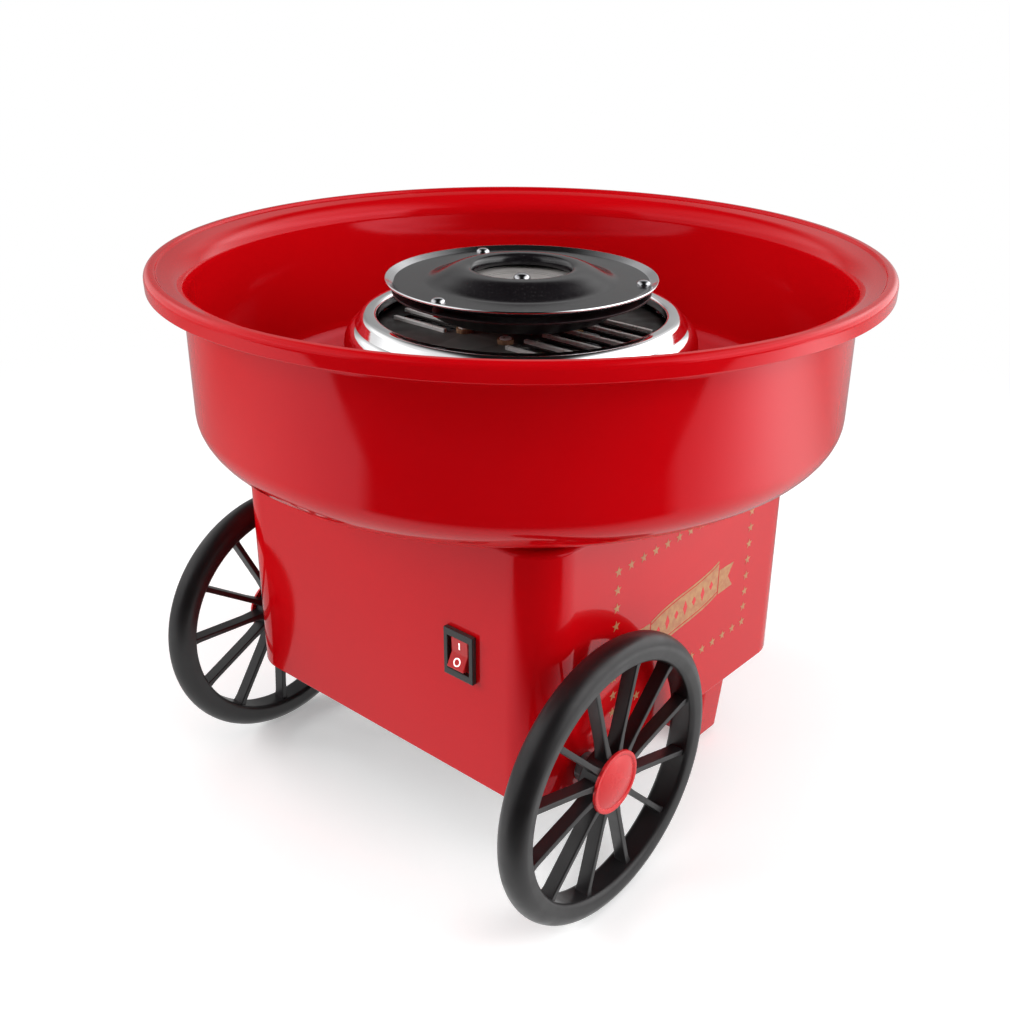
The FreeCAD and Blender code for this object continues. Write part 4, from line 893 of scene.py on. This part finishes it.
def shroud_side(inset):
    """The shoulder from the top of the skirt to the lip, inset by the sheet for its inner face."""
    wall = SHROUD_RADIUS - inset
    knots = [(wall, SHROUD_SKIRT_TOP)] + [(wall - back, level) for back, level in SHROUD_SHOULDER]
    return curve_points(knots + [(SHROUD_SHELF[0] - inset, SHROUD_SHELF[1])], 20)


polished = spun_metal("polished spun metal", POLISHED, POLISHED_DARK, 0.07)
foot_inner, foot_low, foot_high = SHROUD_FOOT
section = [(foot_inner, foot_low), (SHROUD_RADIUS, foot_low)] + shroud_side(0.0)
section += shroud_side(SHROUD_SHEET)[::-1]
section += [(SHROUD_RADIUS - SHROUD_SHEET, foot_high), (foot_inner, foot_high)]
shroud = turned(section, 192, [(1, 1.2)])
inner, outer, low, high = SHROUD_ROLL
section = [(inner, low), (SHROUD_LIP, low), (outer, high - SHROUD_CROWN), ((inner + outer) / 2, high)]
section.append((inner, high - SHROUD_CROWN))
roll = turned(section, 192, [(0, 1.2), (1, 0.5), (2, 1.6), (4, 1.5)], segments=8)
append_mesh(shroud, roll)
make_piece("shroud", shroud, polished, "base", ["heater_shroud"])


# ----------------------------
# Spinning head
# A dark pan below, a bright aluminium disc with a turned up rim, and a coated pressing on top
# with the sugar well in its middle. Three rivets join them, and a domed nut holds the cup.
# ----------------------------
HEAD_SHEET = 0.8
PAN_LEVEL = 215.3
PAN_FLANGE = 223.8
PAN_OUTER = [(2.6, 0.0), (38.0, 0.0), (40.4, 2.2), (47.0, 8.5), (54.0, 8.5)]
PAN_INNER = [(54.0, 9.3), (46.4, 9.3), (39.7, 2.9), (37.6, 0.8), (2.6, 0.8)]
PLATE_LEVEL = 226.6
PLATE = [(40.0, 0.0), (53.4, 0.0), (57.0, 2.4), (56.5, 3.25), (53.05, 1.0), (40.0, 1.0)]
COVER_LEVEL = 227.6
COVER_EDGE = 53.0
COVER_CONE_FOOT = (41.0, 36.0)
COVER_CREST = (24.3, 233.8)
COVER_CREST_HANDLES = (6.5, 2.8)
COVER_WELL = (20.2, 229.4)
COVER_WELL_HANDLE = 233.0
COVER_THIN = (0.15, 0.45)
RIVET_CIRCLE = 50.6
RIVET_ANGLES = (31.5, 151.5, 271.5)
RIVET_FOOT = [(0.0, -0.8), (2.3, -0.8), (2.3, 0.0), (1.5, 0.0)]
RIVET_DOME = [(1.5, 0.0), (3.0, 0.0), (2.85, 0.7), (2.1, 1.45), (1.0, 1.75), (0.0, 1.8)]
CUP_LEVEL = 224.1
CUP = [(2.6, 0.0), (6.0, 0.0), (23.5, 3.1), (23.5, 3.9), (6.0, 0.8), (2.6, 0.8)]
NUT_RADIUS = 4.62
NUT_HEIGHT = 3.0
NUT_DOME = [(3.75, 2.9), (3.7, 3.6), (3.1, 4.75), (1.9, 5.45), (0.0, 5.7), (0.0, 2.9)]
COAT = (0.0060, 0.0050, 0.0060)
COAT_PALE = (0.010, 0.0085, 0.010)
COAT_SPECK = (0.045, 0.043, 0.044)
COAT_IOR = 1.57
ALUMINIUM = (0.84, 0.84, 0.85)
ALUMINIUM_DARK = (0.74, 0.74, 0.76)
CUP_GREY = (0.80, 0.76, 0.74)
CUP_GREY_DARK = (0.64, 0.60, 0.58)


def dark_coating(name, roughness, depth):
    """Baked non-stick coat with a fine orange peel and tiny pale specks."""
    material = new_material(name, COAT, roughness)
    specks = spread(material, grain(material, 1900.0, 2.0), 0.0, 1.0, 0.60, 0.75)
    tone = mottled(material, grain(material, 45.0, 4.0), COAT, COAT_PALE)
    join_socket(material, blend_colours(material, specks, tone, COAT_SPECK), "Base Color")
    vary_roughness(material, grain(material, 320.0, 4.0), roughness * 0.85, roughness * 1.2)
    bumps(material, [(grain(material, 1300.0, 3.0), depth)])
    return material


def under_cover(r, z):
    """The point of the cover's lower face under one of its upper face, with the well's wall thin."""
    aside = HEAD_SHEET if r < COVER_CREST[0] - 1.0 else COVER_THIN[0]
    below = HEAD_SHEET if r > COVER_CREST[0] - 2.0 else COVER_THIN[1]
    return r + aside, z - below


coated = dark_coating("dark baked coating", 0.17, 0.000007)
shader_of(coated).inputs["IOR"].default_value = COAT_IOR
pan_black = dark_coating("dark pan coating", 0.42, 0.00001)
head_bright = spun_metal("bright turned aluminium", ALUMINIUM, ALUMINIUM_DARK, 0.13)
cup_grey = spun_metal("grey brushed aluminium", CUP_GREY, CUP_GREY_DARK, 0.30)
shader_of(cup_grey).inputs["Metallic"].default_value = 0.55

rounded = [(1, 1.2), (2, 1.4), (7, 1.0), (8, 0.8), (4, 0.25), (5, 0.25)]
pan = turned(raised(PAN_OUTER + PAN_INNER, PAN_LEVEL), 160, rounded, segments=5)
make_piece("pan", pan, pan_black, "head", ["head_pan"])

disc = turned(raised(PLATE, PLATE_LEVEL), 192, [(2, 0.4), (3, 0.3), (1, 1.0), (4, 0.8)])
make_piece("bright_disc", disc, head_bright, "head", ["head_plate"])

top = COVER_LEVEL + HEAD_SHEET
crest_r, crest_z = COVER_CREST
outside, inside = COVER_CREST_HANDLES
knots = [(r, top) for r in COVER_CONE_FOOT] + [(crest_r + outside, crest_z), COVER_CREST]
cone = curve_points(knots, 20)
knots = [COVER_CREST, (crest_r - inside, crest_z), (COVER_WELL[0], COVER_WELL_HANDLE), COVER_WELL]
upper = cone + curve_points(knots, 12)[1:]
lower = [under_cover(r, z) for r, z in upper[:-1]] + [(COVER_WELL[0] + HEAD_SHEET, COVER_WELL[1])]
section = [(COVER_EDGE, COVER_LEVEL), (COVER_EDGE, top)] + upper + lower[::-1]
cover = turned(section, 192, [(0, 0.2), (1, 0.25)], segments=3)
make_piece("coated_cover", cover, coated, "head", ["head_cover"])

cup = turned(raised(CUP, CUP_LEVEL), 128, [(1, 2.0), (4, 2.0)], segments=5)
make_piece("sugar_dish", cup, cup_grey, "head", ["sugar_cup"])

nut_seat = CUP_LEVEL + HEAD_SHEET
nut = bmesh.new()
bmesh.ops.create_cone(nut, cap_ends=True, segments=6, radius1=NUT_RADIUS * MM, radius2=NUT_RADIUS * MM,
                      depth=NUT_HEIGHT * MM)
shift(nut, (0, 0, nut_seat + NUT_HEIGHT / 2))
rounded = [(1, 0.5), (2, 0.6), (3, 0.6)]
append_mesh(nut, turned(raised(NUT_DOME, nut_seat), 48, rounded, closed=False))
make_piece("domed_nut", nut, bright_steel, "head", ["dome_nut"], edge=0.3)

section = raised(RIVET_FOOT, PAN_FLANGE) + raised(RIVET_DOME, top)
rivet = turned(section, 32, [(6, 0.3), (7, 0.4)], closed=False, segments=3)
rivets = repeat_about_axis(rivet, RIVET_CIRCLE, RIVET_ANGLES)
make_piece("domed_rivets", rivets, bright_steel, "head", ["head_rivets"])
dress(cup_grey, "drive_hub", "cup_spacer")
dress(pan_black, "rim_spacers")


# ----------------------------
# Bowl
# A red gloss moulding with a rounded foot, straight walls and a broad rolled rim. A collar round
# the hole in its floor drops over the shroud, and it lifts straight off for washing.
# ----------------------------
BOWL_WALL = 136.3
BOWL_SHEET = 2.5
BOWL_FLOOR = (101.3, 160.0)
BOWL_CURVE = 21.8
BOWL_CURVE_STEPS = 16
BOWL_HOLE = 79.0
BOWL_COLLAR = 168.0
BOWL_TOP = 240.0
BOWL_RIM_OUTER = [(136.3, -6.6), (147.3, -3.5), (147.3, -7.0), (149.8, -7.0)]
BOWL_RIM_TOP = [(150.0, 0.0), (145.7, 0.0), (145.1, -1.3), (133.8, -4.2)]


def bowl_foot(reach, drop):
    """A quarter of an oval from the flat floor up to the straight wall."""
    centre_r, centre_z = BOWL_FLOOR[0], BOWL_FLOOR[1] + BOWL_CURVE
    turns = [math.pi / 2 * number / BOWL_CURVE_STEPS for number in range(BOWL_CURVE_STEPS + 1)]
    return [(centre_r + reach * math.sin(t), centre_z - drop * math.cos(t)) for t in turns]


wall_reach = BOWL_WALL - BOWL_FLOOR[0]
collar_inside = BOWL_HOLE + BOWL_SHEET
section = [(BOWL_HOLE, BOWL_FLOOR[1])] + bowl_foot(wall_reach, BOWL_CURVE)
rim = len(section)
section += raised(BOWL_RIM_OUTER + BOWL_RIM_TOP, BOWL_TOP)
section += bowl_foot(wall_reach - BOWL_SHEET, BOWL_CURVE - BOWL_SHEET)[::-1]
section += [(collar_inside, BOWL_FLOOR[1] + BOWL_SHEET), (collar_inside, BOWL_COLLAR)]
section.append((BOWL_HOLE, BOWL_COLLAR))
last = len(section)
rounded = [(rim, 6.5), (rim + 3, 0.5), (rim + 4, 2.8), (rim + 5, 0.5), (rim + 6, 0.5), (rim + 7, 7.0)]
rounded += [(last - 3, 1.2), (last - 2, 0.9), (last - 1, 0.9)]
bowl = turned(section, 256, rounded, segments=8)
make_piece("bowl_shell", bowl, red_plastic, "bowl", ["bowl"])


# ----------------------------
# Studio
# White paper with soft boxes at the right, the left and overhead. Polished surfaces see a room
# that is white behind, dark on the near side and dark straight overhead.
# ----------------------------
CAMERA_PLACE = (0.324946, -0.372746, 0.351415)
CAMERA_AZIMUTH = math.radians(40.6)
CAMERA_ELEVATION = math.radians(25.0)
CAMERA_ROLL = math.radians(0.7)
LENS = 42.94
SHIFT = (-0.0238, 0.0080)
NEAR_SIDE = Vector((math.sin(CAMERA_AZIMUTH), -math.cos(CAMERA_AZIMUTH), 0.0))
RIGHT_SIDE = Vector((-NEAR_SIDE.y, NEAR_SIDE.x, 0.0))
OVERHEAD = Vector((0.0, 0.0, 1.0))
FLOOR_PAPER = (0.87, 0.87, 0.87)
FLOOR_GLOW = 0.31
DARK = 0.02
# Each change of tone: where it starts and ends, and the strengths before and after it.
ROOM_LIGHT = (-0.2, 0.7, 0.46, 0.23)
ROOM_WALLS = (0.60, 0.74, 1.0, DARK)
ROOM_LAMPS = (0.25, 0.50, DARK, 1.0)
ROOM_CEILING = (0.52, 0.72, 0.0, 1.0)
ROOM_WINDOW = (0.30, 0.46, 1.0, 1.6)
ROOM_ACROSS = (-0.6, 0.6, 0.24, 0.52)
ROOM_SIDES = (0.34, 0.62, 1.0, 3.4)
# The paper as polished surfaces see it: painted shade at the left, where the machine's shadow falls, and
# a painted pool of light by the right lamp.
PAPER_LEFT_PAINTED_SHADE = (-0.30, 0.45, 0.36, 1.45)
PAPER_RIGHT_PAINTED_LIGHT = (0.05, 0.78, 0.9, 3.4)
PAPER_RIGHT_FAR = (-0.30, 0.12, 0.2, 1.0)
PAPER_RIGHT_NEAR = (0.12, 0.48, 1.0, 0.4)
PAPER_HALVES = (-0.12, 0.20, 0.0, 1.0)
PAPER_FRONT = (0.19, 0.29, 0.0, 1.0)
PAPER_GAP = (0.66, 0.75, 1.0, DARK)
PAPER_END = (0.418, 0.442, 1.0, DARK)
PAPER_FADE = (0.28, 0.75, 0.0, 1.0)


def fade(owner, value, low, high, first, last):
    """A smooth change from first to last as the value goes from low to high."""
    inputs = {"Value": value, "From Min": low, "From Max": high, "To Min": first, "To Max": last}
    return add_node(owner, "MapRange", inputs, interpolation_type="SMOOTHSTEP").outputs[0]


def combine(owner, operation, *values, kind="Math", output=0):
    return add_node(owner, kind, dict(enumerate(values)), operation=operation).outputs[output]


def component(owner, vector, axis):
    """How far a vector reaches along an axis."""
    return combine(owner, "DOT_PRODUCT", vector, axis, kind="VectorMath", output="Value")


def product(owner, first, *others):
    for other in others:
        first = combine(owner, "MULTIPLY", first, other)
    return first


def mixed(owner, amount, first, second):
    """First where the amount is nought, second where it is one."""
    rest = combine(owner, "SUBTRACT", 1.0, amount)
    return combine(owner, "ADD", product(owner, amount, second), product(owner, rest, first))


def level_heading(owner, direction):
    flat = combine(owner, "MULTIPLY", direction, (1.0, 1.0, 0.0), kind="VectorMath")
    return combine(owner, "NORMALIZE", flat, kind="VectorMath")


def mix_shaders(owner, share, first, second):
    return add_node(owner, "MixShader", {0: share, 1: first, 2: second}).outputs[0]


def room_seen(owner, direction):
    """The room as polished surfaces see it, by direction."""
    near = component(owner, level_heading(owner, direction), NEAR_SIDE)
    side = component(owner, direction, RIGHT_SIDE)
    up = component(owner, direction, OVERHEAD)
    aside = combine(owner, "ABSOLUTE", side)
    walls = fade(owner, near, *ROOM_WALLS)
    window = product(owner, fade(owner, up, *ROOM_WINDOW), walls)
    lamps = fade(owner, aside, *ROOM_LAMPS)
    tone = mixed(owner, fade(owner, up, *ROOM_CEILING), window, lamps)
    return product(owner, tone, fade(owner, side, *ROOM_ACROSS), fade(owner, aside, *ROOM_SIDES))


def paper_with_painted_light(owner, place):
    """The paper as polished surfaces see it: a glow with painted shade at the left, where the machine's
    shadow falls, and a painted pool of light by the right lamp.

    In front, the part that faces the near side is dark, and so is all beyond the paper's end.
    """
    near = component(owner, place, NEAR_SIDE)
    side = component(owner, place, RIGHT_SIDE)
    facing = component(owner, level_heading(owner, place), NEAR_SIDE)
    left = fade(owner, near, *PAPER_LEFT_PAINTED_SHADE)
    right = product(owner, fade(owner, side, *PAPER_RIGHT_PAINTED_LIGHT), fade(owner, near, *PAPER_RIGHT_FAR))
    right = product(owner, right, fade(owner, near, *PAPER_RIGHT_NEAR))
    tone = mixed(owner, fade(owner, side, *PAPER_HALVES), left, right)
    in_front = fade(owner, near, *PAPER_FRONT)
    gap = mixed(owner, in_front, 1.0, fade(owner, facing, *PAPER_GAP))
    return product(owner, tone, gap, fade(owner, near, *PAPER_END))


def strengths(owner, kind, amounts):
    """White backgrounds or emissions of these strengths."""
    inputs = [{"Color": (1.0, 1.0, 1.0, 1.0), "Strength": amount} for amount in amounts]
    return [add_node(owner, kind, each).outputs[0] for each in inputs]


world = bpy.data.worlds.new("studio")
bpy.context.scene.world = world
world.use_nodes = True
world.node_tree.nodes.clear()
rays = add_node(world, "LightPath").outputs
outward = add_node(world, "TexCoord").outputs["Generated"]
heading = component(world, level_heading(world, outward), NEAR_SIDE)
amounts = (fade(world, heading, *ROOM_LIGHT), room_seen(world, outward), 1.0)
soft, mirror, white = strengths(world, "Background", amounts)
around = mix_shaders(world, rays["Is Glossy Ray"], soft, mirror)
shown = mix_shaders(world, rays["Is Camera Ray"], around, white)
add_node(world, "OutputWorld", {"Surface": shown})

floor_bm = bmesh.new()
bmesh.ops.create_grid(floor_bm, x_segments=1, y_segments=1, size=6.0)
floor_mesh = bpy.data.meshes.new("floor")
floor_bm.to_mesh(floor_mesh)
floor_bm.free()
floor = bpy.data.objects.new("floor", floor_mesh)
bpy.context.scene.collection.objects.link(floor)
paper = new_material("white paper floor", FLOOR_PAPER, 0.30)
floor_mesh.materials.append(paper)
rays = add_node(paper, "LightPath").outputs
place = own_place(paper)
plain = shader_of(paper).outputs[0]
# Glossy rays see the paper as a glow with painted shade and a painted pool of light, not as the lit
# paper.
amounts = (FLOOR_GLOW, 1.0, paper_with_painted_light(paper, place))
glow, white, painted_paper_glow = strengths(paper, "Emission", amounts)
lit = add_node(paper, "AddShader", {0: plain, 1: glow}).outputs[0]
distance = combine(paper, "LENGTH", place, kind="VectorMath", output="Value")
fading = mix_shaders(paper, fade(paper, distance, *PAPER_FADE), lit, white)
shown = mix_shaders(paper, rays["Is Camera Ray"], plain, fading)
finish = mix_shaders(paper, rays["Is Glossy Ray"], shown, painted_paper_glow)
paper.node_tree.links.new(finish, paper.node_tree.nodes["Material Output"].inputs["Surface"])


def soft_box(name, place, target, size, power):
    data = bpy.data.lights.new(name, "AREA")
    data.shape = "RECTANGLE"
    data.size, data.size_y = size
    data.energy = power
    lamp = bpy.data.objects.new(name, data)
    lamp.location = place
    lamp.rotation_euler = (Vector(target) - Vector(place)).to_track_quat("-Z", "Y").to_euler()
    bpy.context.scene.collection.objects.link(lamp)
    lamp.visible_glossy = False


soft_box("right soft box", (1.22, 0.50, 0.70), (0, 0, 0.12), (1.0, 1.0), 18.0)
soft_box("left soft box", (-1.00, -0.80, 0.60), (0, 0, 0.12), (0.9, 0.9), 17.0)
soft_box("overhead soft box", (0.32, -0.36, 1.45), (0, 0, 0.2), (1.0, 0.8), 5.5)

camera_data = bpy.data.cameras.new("camera")
camera_data.sensor_fit = "HORIZONTAL"
camera_data.sensor_width = 36.0
camera_data.lens = LENS
camera_data.shift_x, camera_data.shift_y = SHIFT
camera = bpy.data.objects.new("camera", camera_data)
backward = NEAR_SIDE * math.cos(CAMERA_ELEVATION) + OVERHEAD * math.sin(CAMERA_ELEVATION)
side = (-backward).cross(OVERHEAD).normalized()
up = side.cross(-backward).normalized()
level = side * math.cos(CAMERA_ROLL) + up * math.sin(CAMERA_ROLL)
upright = up * math.cos(CAMERA_ROLL) - side * math.sin(CAMERA_ROLL)
axes = Matrix((level, upright, backward)).transposed()
camera.matrix_world = Matrix.Translation(CAMERA_PLACE) @ axes.to_4x4()
bpy.context.scene.collection.objects.link(camera)
bpy.context.scene.camera = camera
bpy.context.scene.view_settings.view_transform = "Standard"
